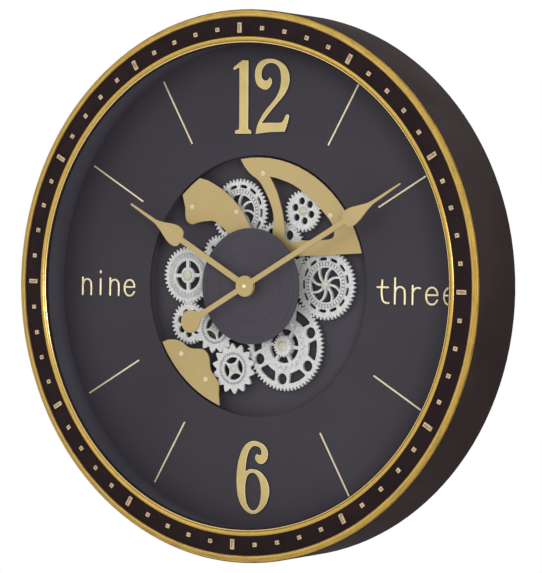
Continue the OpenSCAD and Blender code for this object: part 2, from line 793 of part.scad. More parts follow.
// Bridges: the outlines are shares of the bridges' outer radius
left_edge_shares = [[-0.681, 0.609], [-0.676, 0.53], [-0.655, 0.492], [-0.61, 0.474],
    [-0.542, 0.492], [-0.463, 0.502], [-0.397, 0.5], [-0.332, 0.463], [-0.25, 0.4],
    [-0.12, 0.36], [-0.03, 0.38]];
left_back_shares = [[-0.03, 0.38], [-0.054, 0.451], [-0.133, 0.576], [-0.199, 0.649],
    [-0.278, 0.715], [-0.357, 0.768], [-0.463, 0.82]];
left_rim_from = 122.9;
left_rim_to = 135.1;
module bridge_left() {
    color(pale_gold)
        bridge(concat(
            arc(bridge_r, left_rim_from, left_rim_to, 4),
            bridge_r * through(left_edge_shares, 3),
            bridge_r * through(left_back_shares, 3)));
}

top_edge_shares = [[-0.119, 0.927], [-0.065, 0.873], [0.014, 0.82], [0.065, 0.755],
    [0.119, 0.661], [0.153, 0.57], [0.159, 0.502], [0.15, 0.4], [0.17, 0.33]];
top_foot_shares = [[0.17, 0.33], [0.28, 0.236], [0.391, 0.236]];
top_window_shares = [[0.117, 0.85], [0.199, 0.834], [0.332, 0.788], [0.463, 0.709],
    [0.596, 0.596], [0.689, 0.496], [0.715, 0.423], [0.689, 0.377], [0.57, 0.363],
    [0.411, 0.357], [0.304, 0.338], [0.264, 0.383], [0.258, 0.423], [0.252, 0.502],
    [0.232, 0.596], [0.193, 0.715], [0.153, 0.794], [0.117, 0.85]];
top_rim_from = 15.6;
top_rim_to = 99.1;
module bridge_top() {
    color(pale_gold)
        difference() {
            bridge(concat(
                arc(bridge_r, top_rim_from, top_rim_to, 16),
                bridge_r * through(top_edge_shares, 3),
                bridge_r * through(top_foot_shares, 3)));
            face_on()
                at([0, 0], bridge_h - cut)
                    linear_extrude(bridge_thick + 2 * cut)
                        polygon(bridge_r * through(top_window_shares, 3));
        }
}

bottom_edge_shares = [[-0.336, -0.86], [-0.336, -0.794], [-0.357, -0.741], [-0.403, -0.689],
    [-0.423, -0.642], [-0.431, -0.576], [-0.457, -0.53], [-0.502, -0.506], [-0.582, -0.506],
    [-0.636, -0.496], [-0.689, -0.463], [-0.755, -0.441], [-0.834, -0.443]];
bottom_rim_from = 207.6;
bottom_rim_to = 251;
module bridge_bottom() {
    color(pale_gold)
        bridge(concat(
            arc(bridge_r, bottom_rim_from, bottom_rim_to, 10),
            bridge_r * through(bottom_edge_shares, 3)));
}

module bridge(outline) {
    face_on()
        at([0, 0], bridge_h)
            linear_extrude(bridge_thick)
                polygon(outline);
}

// Pillars under the bridges, and the axle end that the left bridge holds
pillar_shares = [[-0.613, 0.611], [0.054, 0.876], [0.677, 0.552], [-0.699, -0.55],
    [-0.461, -0.745]];
pillar_places = bridge_r * pillar_shares;
rivet_places = concat(pillar_places, [top_at]);

module bridge_pillars() {
    color(brass)
        face_on()
            for (place = pillar_places)
                at(place, floor_h)
                    cylinder(r = pillar_r, h = bridge_h - floor_h, $fn = 32);
}

module bridge_rivets() {
    color(cream)
        face_on()
            for (place = rivet_places)
                at(place, dial_h)
                    rotate_extrude($fn = 32)
                        polygon([[0, 0], [rivet_r, 0], [rivet_r, rivet_h * 0.4],
                            [rivet_r * 0.8, rivet_h * 0.85], [rivet_r * 0.4, rivet_h], [0, rivet_h]]);
}

// Axles: place, height of the wheel's rear face, height of its front face, radius of its cap
hub_rise = 1.2;
rosette_thick = 1.6;
main_pinion_thick = 3.2;
main_front_h = rear_layer_h + wheel_thick + rosette_thick + main_pinion_thick;
rear_front_h = rear_layer_h + wheel_thick + hub_rise;
star_front_h = front_layer_h + wheel_thick;
AXLES = [
    [main_at, rear_layer_h, main_front_h, main_cap_r],
    [right_at, rear_layer_h, rear_front_h, cap_r],
    [centre_at, rear_layer_h, rear_front_h, cap_r],
    [window_at, rear_layer_h, rear_front_h, cap_r],
    [idler_at, rear_layer_h, rear_layer_h + wheel_thick, cap_r],
    [left_at, rear_layer_h, rear_front_h, cap_r],
    [lower_at, rear_layer_h, rear_front_h, cap_r],
    [inner_star_at, rear_layer_h, star_front_h, cap_r],
    [outer_star_at, front_layer_h, star_front_h, cap_r]];

module axle_posts() {
    color(steel)
        face_on() {
            for (axle = AXLES)
                at(axle[0]) {
                    translate([0, 0, floor_h])
                        cylinder(r = shoulder_r, h = axle[1] - end_float - floor_h, $fn = 48);
                    translate([0, 0, floor_h])
                        cylinder(r = axle_r, h = axle[2] + end_float - floor_h);
                }
            at(top_at) {
                translate([0, 0, floor_h])
                    cylinder(r = shoulder_r, h = floor_gap - end_float, $fn = 48);
                translate([0, 0, floor_h])
                    cylinder(r = axle_r, h = bridge_h - floor_h);
            }
        }
}

module axle_caps() {
    color(cream)
        face_on()
            for (axle = AXLES)
                at(axle[0], axle[2] + end_float)
                    rotate_extrude($fn = 48)
                        polygon([[0, 0], [axle[3], 0], [axle[3], cap_h * 0.6],
                            [axle[3] * 0.8, cap_h * 0.9], [axle[3] * 0.35, cap_h], [0, cap_h]]);
}

// Wheels
module placed(place, height) {
    face_on()
        at(place, height)
            children();
}

main_hole_place_r = 24.2 * fine_module;
main_hole_r = 4.1 * fine_module;
main_slot_in_r = 20.3 * fine_module;
main_slot_out_r = 27.7 * fine_module;
main_slot_corner = 1.2 * fine_module;
main_slot_half_in = 13.2;
main_slot_half_out = 16.5;
rosette_teeth = 20;
rosette_tip_r = 17.6 * fine_module;
rosette_root_r = 14.4 * fine_module;
spoke_in_r = 7.6 * fine_module;
spoke_out_r = 12.5 * fine_module;
spoke_w = 2.4 * fine_module;
main_turn = 25;
main_spoke_turn = main_turn + 30;
main_pinion_teeth = 21;
main_pinion_module = 0.713 * fine_module;

module main_wheel() {
    color(silver)
        placed(main_at, rear_layer_h)
            difference() {
                fine_teeth(main_teeth, main_phase, wheel_thick);
                round_holes(6, main_hole_place_r, main_hole_r, wheel_thick, main_turn);
                through_cut(wheel_thick)
                    for (k = [0:5])
                        rotate(main_turn + 30 + k * 60)
                            polygon(rounded_sector(main_slot_in_r, main_slot_out_r,
                                main_slot_half_in, main_slot_half_out, main_slot_corner));
                sector_windows(6, spoke_in_r, spoke_out_r, spoke_w, wheel_thick, main_spoke_turn);
                axle_bore(wheel_thick);
            }
}

module main_rosette() {
    color(silver)
        placed(main_at, rear_layer_h + wheel_thick)
            difference() {
                linear_extrude(rosette_thick)
                    polygon([for (k = [0:2 * rosette_teeth - 1])
                        polar(k % 2 == 0 ? rosette_tip_r : rosette_root_r, k * 180 / rosette_teeth)]);
                sector_windows(6, spoke_in_r, spoke_out_r, spoke_w, rosette_thick, main_spoke_turn);
                axle_bore(rosette_thick);
            }
}

module main_pinion() {
    color(silver)
        placed(main_at, rear_layer_h + wheel_thick + rosette_thick)
            difference() {
                linear_extrude(main_pinion_thick)
                    polygon([for (k = [0:4 * main_pinion_teeth - 1])
                        let (r = k % 4 < 2 ? pinion_tip_r : pinion_root_r)
                        polar(r, (k + (k % 2 == 0 ? pinion_tooth_share : -pinion_tooth_share)) * 90
                            / main_pinion_teeth)]);
                axle_bore(main_pinion_thick);
            }
}
pinion_tip_r = main_pinion_module * (main_pinion_teeth / 2 + 0.9);
pinion_root_r = main_pinion_module * (main_pinion_teeth / 2 - 1.2);
pinion_tooth_share = 0.2;

// A wheel with curved spokes, a ring of slots and a raised ring between them
slot_in_r = 17.7 * fine_module;
slot_out_r = 20.1 * fine_module;
slot_corner = 1.15 * fine_module;
slot_half = 9.9;
turbine_in_r = 3.6 * fine_module;
turbine_out_r = 12.6 * fine_module;
turbine_spoke_w = 1.7 * fine_module;
turbine_twist = -20;
turbine_spokes = 8;
turbine_slots = 13;
raised_in_r = 13.1 * fine_module;
raised_out_r = 13.9 * fine_module;
outer_raised_in_r = 16.8 * fine_module;
outer_raised_out_r = 17.3 * fine_module;
raised_h = 0.6;
hub_r = 3.3 * fine_module;

module turbine_wheel(place, teeth, phase, turn) {
    color(silver)
        placed(place, rear_layer_h)
            difference() {
                union() {
                    fine_teeth(teeth, phase, wheel_thick);
                    translate([0, 0, wheel_thick])
                        ring(raised_out_r, raised_in_r, raised_h);
                    translate([0, 0, wheel_thick])
                        ring(outer_raised_out_r, outer_raised_in_r, raised_h);
                    cylinder(r = hub_r, h = wheel_thick + hub_rise);
                }
                through_cut(wheel_thick)
                    for (k = [0:turbine_slots - 1])
                        rotate(turn + (k + 0.5) * 360 / turbine_slots)
                            polygon(rounded_sector(slot_in_r, slot_out_r, slot_half, slot_half,
                                slot_corner));
                sector_windows(turbine_spokes, turbine_in_r, turbine_out_r, turbine_spoke_w,
                    wheel_thick, turn, turbine_twist);
                axle_bore(wheel_thick + hub_rise);
            }
}

module right_wheel() {
    turbine_wheel(right_at, right_teeth, right_phase, 0);
}

module top_wheel() {
    turbine_wheel(top_at, top_teeth, top_phase, 12);
}

module centre_wheel() {
    color(silver)
        placed(centre_at, rear_layer_h)
            difference() {
                union() {
                    fine_teeth(centre_teeth, centre_phase, wheel_thick);
                    cylinder(r = hub_r, h = wheel_thick + hub_rise);
                }
                round_holes(6, centre_hole_place_r, centre_hole_r, wheel_thick, centre_hole_turn);
                axle_bore(wheel_thick + hub_rise);
            }
}
centre_hole_place_r = 15.3 * fine_module;
centre_hole_r = 3.5 * fine_module;
centre_hole_turn = 55;

window_hole_place_r = 7.3 * fine_module;
window_hole_r = 2.7 * fine_module;
window_hole_turn = 40;
module window_wheel() {
    color(silver)
        placed(window_at, rear_layer_h)
            difference() {
                union() {
                    fine_teeth(window_teeth, window_phase, wheel_thick);
                    cylinder(r = hub_r, h = wheel_thick + hub_rise);
                }
                round_holes(6, window_hole_place_r, window_hole_r, wheel_thick, window_hole_turn);
                axle_bore(wheel_thick + hub_rise);
            }
}

module idler_wheel() {
    color(silver)
        placed(idler_at, rear_layer_h)
            difference() {
                fine_teeth(idler_teeth, idler_phase, wheel_thick);
                round_holes(5, idler_hole_place_r, idler_hole_r, wheel_thick, 0);
                axle_bore(wheel_thick);
            }
}
idler_hole_place_r = 6.3 * fine_module;
idler_hole_r = 1.6 * fine_module;

left_window_in_r = 6.1 * fine_module;
left_window_out_r = 11.1 * fine_module;
left_spoke_w = 2.7 * fine_module;
left_ring_in_r = 12.9 * fine_module;
left_ring_out_r = 17.1 * fine_module;
left_hub_r = 5.7 * fine_module;
module left_wheel() {
    color(silver)
        placed(left_at, rear_layer_h)
            difference() {
                union() {
                    fine_teeth(left_teeth, left_phase, wheel_thick);
                    translate([0, 0, wheel_thick])
                        ring(left_ring_out_r, left_ring_in_r, raised_h);
                    cylinder(r = left_hub_r, h = wheel_thick + hub_rise / 2);
                    cylinder(r = hub_r, h = wheel_thick + hub_rise);
                }
                sector_windows(4, left_window_in_r, left_window_out_r, left_spoke_w, wheel_thick, 2);
                axle_bore(wheel_thick + hub_rise);
            }
}

lower_holes = 7;
lower_hole_place_r = 8.1 * fine_module;
lower_hole_r = 2.8 * fine_module;
lower_hole_turn = 10;
module lower_wheel() {
    color(silver)
        placed(lower_at, rear_layer_h)
            difference() {
                union() {
                    fine_teeth(lower_teeth, lower_phase, wheel_thick);
                    cylinder(r = hub_r, h = wheel_thick + hub_rise);
                }
                round_holes(lower_holes, lower_hole_place_r, lower_hole_r, wheel_thick, lower_hole_turn);
                axle_bore(wheel_thick + hub_rise);
            }
}

star_hub_r = 3.2 * fine_module;
star_window_reach = 3.75 * fine_module;
star_window_out_r = 8.4 * fine_module;
star_window_half = 39;
star_ring_in_r = 10.1 * fine_module;
star_ring_out_r = 12 * fine_module;
module star_wheel(place, phase, turn) {
    color(silver)
        placed(place, front_layer_h)
            difference() {
                union() {
                    star_teeth_plate(phase, wheel_thick - raised_h);
                    ring(star_ring_out_r, star_ring_in_r, wheel_thick);
                    cylinder(r = star_hub_r, h = wheel_thick);
                }
                through_cut(wheel_thick)
                    for (k = [0:3])
                        rotate(turn + k * 90)
                            polygon(lens_outline(star_window_out_r, star_window_half,
                                star_window_reach));
                axle_bore(wheel_thick);
            }
}

module inner_star_wheel() {
    star_wheel(inner_star_at, inner_star_phase, inner_window_turn);
}

module outer_star_wheel() {
    star_wheel(outer_star_at, outer_star_phase, outer_window_turn);
}
inner_window_turn = 58;
outer_window_turn = 15;

module inner_star_pinion() {
    color(silver)
        placed(inner_star_at, rear_layer_h)
            difference() {
                union() {
                    fine_teeth(star_pinion_teeth, star_pinion_phase, wheel_thick);
                    cylinder(r = hub_r, h = wheel_thick + layer_gap);
                }
                axle_bore(wheel_thick + layer_gap);
            }
}

// Gear motor behind the recess floor
motor_shaft_r = 1.5;
motor_ear_reach = 17;
motor_ear_r = 4;
motor_ear_thick = 1.5;
motor_shaft_seat = 8;
motor_ear_turn = -35;
module gear_motor() {
    color(steel)
        face_on()
            at(motor_at)
                difference() {
                    union() {
                        translate([0, 0, floor_back_h - motor_depth])
                            cylinder(r = motor_r, h = motor_depth);
                        for (turn = [0, 180])
                            rotate(motor_ear_turn + turn) {
                                translate([motor_ear_reach, 0, floor_back_h - motor_ear_thick])
                                    cylinder(r = motor_ear_r, h = motor_ear_thick, $fn = 48);
                                translate([0, -motor_ear_r, floor_back_h - motor_ear_thick])
                                    cube([motor_ear_reach, 2 * motor_ear_r, motor_ear_thick]);
                            }
                    }
                    translate([0, 0, floor_back_h - motor_shaft_seat])
                        cylinder(r = motor_shaft_r + running_fit, h = motor_shaft_seat + cut);
                    for (turn = [0, 180])
                        rotate(motor_ear_turn + turn)
                            translate([motor_ear_reach, 0, floor_back_h - motor_ear_thick - cut])
                                cylinder(r = screw_r, h = motor_ear_thick + 2 * cut, $fn = 32);
                }
}

module motor_screws() {
    color(steel)
        face_on()
            at(motor_at)
                for (turn = [0, 180])
                    rotate(motor_ear_turn + turn)
                        translate([motor_ear_reach, 0, floor_back_h - motor_ear_thick]) {
                            cylinder(r = screw_r, h = motor_ear_thick, $fn = 32);
                            translate([0, 0, -screw_head_h])
                                cylinder(r = screw_head_r, h = screw_head_h, $fn = 32);
                        }
}

module motor_pinion() {
    color(brass)
        face_on()
            at(motor_at) {
                translate([0, 0, rear_layer_h])
                    fine_teeth(motor_teeth, motor_phase, wheel_thick);
                translate([0, 0, floor_back_h - motor_shaft_seat + end_float])
                    cylinder(r = motor_shaft_r,
                        h = rear_layer_h - floor_back_h + motor_shaft_seat - end_float);
            }
}

// Quartz movement at the centre, behind the recess floor
movement_h = floor_back_h - movement_depth;
bay_l = 52;
bay_w = 15.2;
bay_depth = 14.9;
bay_rise = 16.5;
knob_at = [-12, -14];
stem_r = 1.4;
stem_l = 6;
cell_axis_h = movement_h + cell_r + ease;
tube_l = 5;
arbor_l = 10;
module movement_case() {
    color(black)
        face_on()
            at([0, 0], movement_h)
                difference() {
                    translate([-movement_w / 2, -movement_w / 2, 0])
                        cube([movement_w, movement_w, movement_depth]);
                    translate([-bay_l / 2, bay_rise - bay_w / 2, -cut])
                        cube([bay_l, bay_w, bay_depth + cut]);
                    at(knob_at, -cut)
                        cylinder(r = stem_r + running_fit, h = stem_l + ease + cut);
                    translate([0, 0, movement_depth - tube_l - end_float])
                        cylinder(r = hour_tube_r + running_fit, h = tube_l + end_float + cut);
                    translate([0, 0, movement_depth - arbor_l - end_float])
                        cylinder(r = arbor_r + running_fit, h = arbor_l);
                }
}

nut_thick = 2.6;
washer_thick = 0.8;
bush_top_h = disc_h + disc_thick + nut_thick + washer_thick;
washer_r = 9;
nut_r = 7;
module movement_bush() {
    color(brass)
        face_on()
            at([0, 0], floor_back_h)
                ring(bush_r, hour_tube_r + running_fit, bush_top_h - floor_back_h);
}

module bush_nut() {
    color(brass)
        face_on() {
            at([0, 0], disc_h + disc_thick)
                ring(washer_r, bush_r, washer_thick);
            at([0, 0], disc_h + disc_thick + washer_thick)
                difference() {
                    cylinder(r = nut_r, h = nut_thick, $fn = 6);
                    translate([0, 0, -cut])
                        cylinder(r = bush_r, h = nut_thick + 2 * cut);
                }
        }
}

nub_r = 2.6;
nub_l = 1;
module cell(length) {
    rotate([0, 90, 0]) {
        translate([0, 0, -length / 2])
            cylinder(r = cell_r, h = length);
        translate([0, 0, length / 2])
            cylinder(r = nub_r, h = nub_l, $fn = 32);
    }
}

contact_thick = 0.5;
contact_w = 8;
module contacts(long) {
    for (side = [-1, 1])
        translate([side * (long - contact_thick) / 2, 0, 0])
            cube([contact_thick, contact_w, contact_w], center = true);
}

module time_cell() {
    color(brass)
        face_on()
            at([0, bay_rise], cell_axis_h)
                cell(cell_l);
}

module time_contacts() {
    color(steel)
        face_on()
            at([0, bay_rise], cell_axis_h)
                contacts(bay_l);
}

module set_knob() {
    color(cream)
        face_on()
            at(knob_at, movement_h - ease) {
                translate([0, 0, -knob_h])
                    linear_extrude(knob_h)
                        polygon([for (k = [0:2 * knob_ribs - 1])
                            polar(knob_r - (k % 2) * knob_rib_depth, k * 180 / knob_ribs)]);
                cylinder(r = stem_r, h = stem_l);
            }
}
knob_ribs = 20;
knob_rib_depth = 0.6;

// Cell box of the gear motor, let into the rear cover
cell_box_at = [0, -75];
cell_box_wall = 1.5;
cell_box_l = bay_l + 2 * cell_box_wall;
cell_box_w = bay_w + 2 * cell_box_wall;
cell_box_h = bay_depth + cell_box_wall;
cell_box_flange = 3;
module cell_box() {
    color(black)
        face_on()
            at(cell_box_at)
                difference() {
                    union() {
                        translate([-cell_box_l / 2 + ease, -cell_box_w / 2 + ease, cover_h])
                            cube([cell_box_l - 2 * ease, cell_box_w - 2 * ease, cell_box_h]);
                        translate([-cell_box_l / 2 - cell_box_flange, -cell_box_w / 2 - cell_box_flange,
                            lip_h])
                            cube([cell_box_l + 2 * cell_box_flange, cell_box_w + 2 * cell_box_flange,
                                cell_box_wall]);
                    }
                    translate([-bay_l / 2, -bay_w / 2, cover_h - cut])
                        cube([bay_l, bay_w, bay_depth + cut]);
                }
}
gear_cell_h = cover_h + cell_r + ease;

module gear_cell() {
    color(brass)
        face_on()
            at(cell_box_at, gear_cell_h)
                cell(cell_l);
}

module gear_contacts() {
    color(steel)
        face_on()
            at(cell_box_at, gear_cell_h)
                contacts(bay_l);
}

// Centre disc on its spacer
disc_groove_shares = [0.63, 0.9];
disc_groove_w = 0.5;
disc_groove_depth = 0.2;
module centre_disc() {
    color(charcoal)
        face_on()
            at([0, 0], disc_h)
                difference() {
                    cylinder(r = disc_r, h = disc_thick, $fn = 180);
                    translate([0, 0, -cut])
                        cylinder(r = bush_r, h = disc_thick + 2 * cut);
                    for (share = disc_groove_shares)
                        translate([0, 0, disc_thick - disc_groove_depth])
                            ring(disc_r * share, disc_r * share - disc_groove_w,
                                disc_groove_depth + cut);
                }
}

module centre_spacer() {
    color(charcoal)
        face_on()
            at([0, 0], floor_h)
                ring(spacer_r, bush_r, disc_h - floor_h);
}

// Hands: outlines are [distance along the hand, half width]
hour_shaft_half = 3.4;
hour_leaf_half = 11.5;
hour_leaf_from = 0.5552 * hour_hand_l;
hour_leaf_wide = 0.6105 * hour_hand_l;
hour_leaf_to = 0.7901 * hour_hand_l;
minute_shaft_half = 3;
minute_leaf_half = 9.7;
minute_leaf_from = 0.6432 * minute_hand_l;
minute_leaf_wide = 0.6784 * minute_hand_l;
minute_leaf_to = 0.8238 * minute_hand_l;
needle_half = 1.4;
neck_half = 2.1;
function leaf(shaft_half, leaf_half, from, wide, to, length) = concat(
    curve([from, shaft_half], [from, leaf_half * 0.75], [wide - (wide - from) * 0.7, leaf_half],
        [wide, leaf_half], 6),
    curve([wide, leaf_half], [wide + (to - wide) * 0.3, leaf_half],
        [wide + (to - wide) * 0.6, neck_half * 1.6], [to, neck_half], 8),
    [[to, neck_half], [length - needle_half, needle_half * 0.85], [length, needle_half * 0.4]]);
function mirrored(half) = concat(half, [for (i = [len(half) - 1:-1:0]) [half[i][0], -half[i][1]]]);

module hand(angle, outline, bore_r) {
    rotate(90 - angle)
        difference() {
            union() {
                linear_extrude(hand_thick)
                    polygon(mirrored(outline));
                cylinder(r = boss_r, h = hand_thick);
                children();
            }
            translate([0, 0, -cut])
                cylinder(r = bore_r, h = hand_thick + 2 * cut);
        }
}

module hour_hand() {
    color(pale_gold)
        face_on()
            at([0, 0], hour_hand_h)
                hand(hour_angle, concat([[0, hour_shaft_half]], leaf(hour_shaft_half,
                    hour_leaf_half, hour_leaf_from, hour_leaf_wide, hour_leaf_to, hour_hand_l)),
                    hour_tube_r);
}

module minute_hand() {
    color(pale_gold)
        face_on()
            at([0, 0], minute_hand_h)
                hand(minute_angle, concat(tail_outline, leaf(minute_shaft_half,
                    minute_leaf_half, minute_leaf_from, minute_leaf_wide, minute_leaf_to,
                    minute_hand_l)), arbor_r)
                    translate([-counterweight_reach, 0, 0])
                        cylinder(r = counterweight_r, h = hand_thick);
}
tail_flare_l = 9;
tail_outline = [
    [-counterweight_reach, counterweight_r * 0.6],
    [-counterweight_reach + counterweight_r * 0.8, counterweight_r * 0.6],
    [-counterweight_reach + counterweight_r * 0.8 + tail_flare_l * 0.4, minute_shaft_half * 1.5],
    [-counterweight_reach + counterweight_r * 0.8 + tail_flare_l, minute_shaft_half],
    [0, minute_shaft_half]];

module hour_tube() {
    color(brass)
        face_on()
            at([0, 0], floor_back_h - tube_l)
                ring(hour_tube_r, arbor_r + running_fit, hour_hand_h + hand_thick
                    - floor_back_h + tube_l);
}

module minute_arbor() {
    color(steel)
        face_on()
            at([0, 0], floor_back_h - arbor_l)
                cylinder(r = arbor_r, h = minute_hand_h + hand_thick - floor_back_h + arbor_l);
}

pin_r = 1.3;
pin_h = 2.2;
hand_cap_r = 3;
hand_cap_h = 1;
module hand_cap() {
    color(pale_gold)
        face_on()
            at([0, 0], minute_hand_h + hand_thick)
                rotate_extrude($fn = 48)
                    polygon([[0, 0], [hand_cap_r, 0], [hand_cap_r, hand_cap_h * 0.5],
                        [pin_r * 1.3, hand_cap_h], [pin_r, hand_cap_h + pin_h * 0.8],
                        [pin_r * 0.6, hand_cap_h + pin_h], [0, hand_cap_h + pin_h]]);
}

case_drum();
rear_cover();
cover_screws();
hanger_plate();
hanger_rivets();
outer_rim();
minute_track();
inner_rim();
minute_marks();
hour_marks();
inner_wall();
wall_screws();
dial_plate();
hour_lines();
numeral_12();
numeral_6();
recess_pan();
pan_screws();
bridge_left();
bridge_top();
bridge_bottom();
bridge_pillars();
bridge_rivets();
axle_posts();
axle_caps();
centre_spacer();
centre_disc();
main_wheel();
main_rosette();
main_pinion();
right_wheel();
centre_wheel();
top_wheel();
window_wheel();
idler_wheel();
left_wheel();
lower_wheel();
inner_star_wheel();
inner_star_pinion();
outer_star_wheel();
gear_motor();
motor_screws();
motor_pinion();
movement_case();
movement_bush();
bush_nut();
time_cell();
time_contacts();
set_knob();
cell_box();
gear_cell();
gear_contacts();
hour_tube();
hour_hand();
minute_arbor();
minute_hand();
hand_cap();
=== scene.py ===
# %% [markdown]
# # A wall clock with moving gear wheels
# This lesson dresses a finished mechanical model of a large round wall clock. The case, the dial, the wheels
# and what drives them arrive as exact solids, so the work here is their surfaces, the light and the camera, and
# those pieces whose real form is softer or finer than a plain solid: the turned bezel, the stamped marks, the
# numerals, the eased plates, the domed caps, the relief on the wheels and the two number words.

# %% Load the frame
import json
import math

import bmesh
import bpy
from mathutils import Matrix, Vector


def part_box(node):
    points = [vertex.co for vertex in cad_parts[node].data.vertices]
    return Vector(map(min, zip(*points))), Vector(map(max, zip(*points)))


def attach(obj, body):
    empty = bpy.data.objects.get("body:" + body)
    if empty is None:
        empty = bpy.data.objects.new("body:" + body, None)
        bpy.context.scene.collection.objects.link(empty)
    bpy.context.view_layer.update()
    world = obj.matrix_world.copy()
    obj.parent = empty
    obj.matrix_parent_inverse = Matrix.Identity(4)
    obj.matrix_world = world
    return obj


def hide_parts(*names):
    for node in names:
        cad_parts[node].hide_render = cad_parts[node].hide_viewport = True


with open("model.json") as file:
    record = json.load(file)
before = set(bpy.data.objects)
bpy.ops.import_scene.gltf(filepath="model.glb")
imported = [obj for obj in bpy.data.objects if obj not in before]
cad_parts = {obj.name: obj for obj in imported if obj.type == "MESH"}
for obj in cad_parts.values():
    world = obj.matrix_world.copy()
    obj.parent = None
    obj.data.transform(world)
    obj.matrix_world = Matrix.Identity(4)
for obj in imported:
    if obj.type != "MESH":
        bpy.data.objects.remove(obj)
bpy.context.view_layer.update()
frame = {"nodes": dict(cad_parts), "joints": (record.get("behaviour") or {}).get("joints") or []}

nodes = frame["nodes"]

# %% [markdown]
# ## Where things are
# Lengths are in metres, and mm turns a size in millimetres into metres. The wall is the plane y = 0 and the
# clock looks along -Y, so a height off the wall is -y. The dial's middle and its front face are read from the
# boxes of the pieces.

# %% Places taken from the frame
mm = 0.001


def centre_of(node):
    low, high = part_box(node)
    return Vector([(a + b) / 2 for a, b in zip(low, high)])


def front_of(node):
    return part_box(node)[0][1]


middle = centre_of("outer_rim")
middle_x = middle.x
middle_z = middle.z
dial_front = front_of("dial_plate")
marks_front = front_of("minute_marks")
print("middle of the dial", round(middle_x, 4), round(middle_z, 4), "dial front", round(dial_front, 4))

# %% [markdown]
# ## The camera
# The photograph was taken from the right of the clock and a hair above its middle, with a long lens. The
# angles, distance and lens below were worked out from the sixty minute marks, which lie on a true circle, so
# the circle's squashed shape in the picture tells the viewing angle, and its uneven halves tell the distance.

# %% Camera at the photograph's angle
mark_circle_r = 280 * mm
camera_turn = math.radians(33.55)
camera_rise = math.radians(1.01)
camera_roll = math.radians(0.83)
camera_distance = 10.17 * mark_circle_r
aim_right = 0.165 * mark_circle_r
aim_up = 0.003 * mark_circle_r
aim_point = Vector((middle_x + aim_right, marks_front, middle_z + aim_up))
photo_height_px = 573
focal_px = 2651.6
sensor_mm = 36


def add_object(name, data):
    """Puts new data into the scene as an object."""
    made = bpy.data.objects.new(name, data)
    bpy.context.scene.collection.objects.link(made)
    return made


camera_data = bpy.data.cameras.new("camera")
camera_data.sensor_width = sensor_mm
camera_data.lens = focal_px * sensor_mm / photo_height_px
camera = add_object("camera", camera_data)
turn = (Matrix.Rotation(camera_turn, 4, "Z") @ Matrix.Rotation(math.pi / 2 - camera_rise, 4, "X")
        @ Matrix.Rotation(camera_roll, 4, "Z"))
back = turn @ Vector((0, 0, 1))
camera.matrix_world = Matrix.Translation(aim_point + back * camera_distance) @ turn
bpy.context.scene.camera = camera
bpy.context.scene.view_settings.view_transform = "Standard"
print("lens", round(camera_data.lens, 1), "mm, camera at", [round(v, 3) for v in camera.location])

# %% [markdown]
# ## Light, sky and floor
# The picture is a catalogue shot with a white surround. The surround is white only for what the camera sees,
# and for what shows in the metal. The light that falls on the clock is set apart from it, by asking the Light
# Path node which kind of ray is looking. Shader nodes are wired with two small helpers that come back in every
# material.

# %% Wiring helpers
def feed(tree, value, socket):
    """Links a socket to another node's output, or sets it to a plain value."""
    if hasattr(value, "is_output"):
        tree.links.new(value, socket)
    else:
        socket.default_value = value


def math_node(tree, operation, a, b=None):
    node = tree.nodes.new("ShaderNodeMath")
    node.operation = operation
    feed(tree, a, node.inputs[0])
    if b is not None:
        feed(tree, b, node.inputs[1])
    return node.outputs[0]


print("helpers: feed, math_node")

# %% World
sky_level = 0.80
world = bpy.data.worlds.new("studio")
bpy.context.scene.world = world
world.use_nodes = True
sky = world.node_tree
sky.nodes.clear()


def background(level):
    node = sky.nodes.new("ShaderNodeBackground")
    node.inputs["Color"].default_value = (level, level, level, 1)
    return node.outputs[0]


ray = sky.nodes.new("ShaderNodeLightPath").outputs
seen_ray = math_node(sky, "MAXIMUM", ray["Is Camera Ray"], ray["Is Glossy Ray"])
seen_ray = math_node(sky, "MAXIMUM", seen_ray, ray["Is Transmission Ray"])
pick = sky.nodes.new("ShaderNodeMixShader")
sky_out = sky.nodes.new("ShaderNodeOutputWorld")
sky.links.new(seen_ray, pick.inputs[0])
sky.links.new(background(sky_level), pick.inputs[1])
sky.links.new(background(1.0), pick.inputs[2])
sky.links.new(pick.outputs[0], sky_out.inputs[0])
print("sky lights the clock at", sky_level, "and is seen at 1")

# %% [markdown]
# The floor is a pale plane well below the clock, which hangs on a wall in use. It belongs to the studio, not to
# the clock.

# %% Floor
floor_drop = 1.15
floor_size = 6.0
floor_grey = 0.82
bpy.ops.mesh.primitive_plane_add(size=floor_size, location=(0, 0, middle_z - floor_drop))
floor = bpy.context.object
floor.name = "studio_floor"
floor_paint = bpy.data.materials.new("studio_floor")
floor_paint.use_nodes = True
floor_shader = floor_paint.node_tree.nodes["Principled BSDF"]
floor_shader.inputs["Base Color"].default_value = (floor_grey, floor_grey, floor_grey, 1)
floor_shader.inputs["Roughness"].default_value = 0.7
floor.data.materials.append(floor_paint)
print("floor", floor_drop, "m below the middle of the clock")

# %% [markdown]
# Three soft round lamps do the rest. A wide weak one stands at the upper left, a smaller one at the right gives
# the beads of the bezel their gleam, and one behind is there for views of the back. All of them look at the
# dial.

# %% Lamps
def soft_lamp(name, place, size, watts):
    data = bpy.data.lights.new(name, "AREA")
    data.shape = "DISK"
    data.size = size
    data.energy = watts
    lamp = add_object(name, data)
    lamp.location = place
    aim = Vector((middle_x, dial_front, middle_z)) - Vector(place)
    lamp.rotation_euler = aim.to_track_quat("-Z", "Y").to_euler()
    return lamp


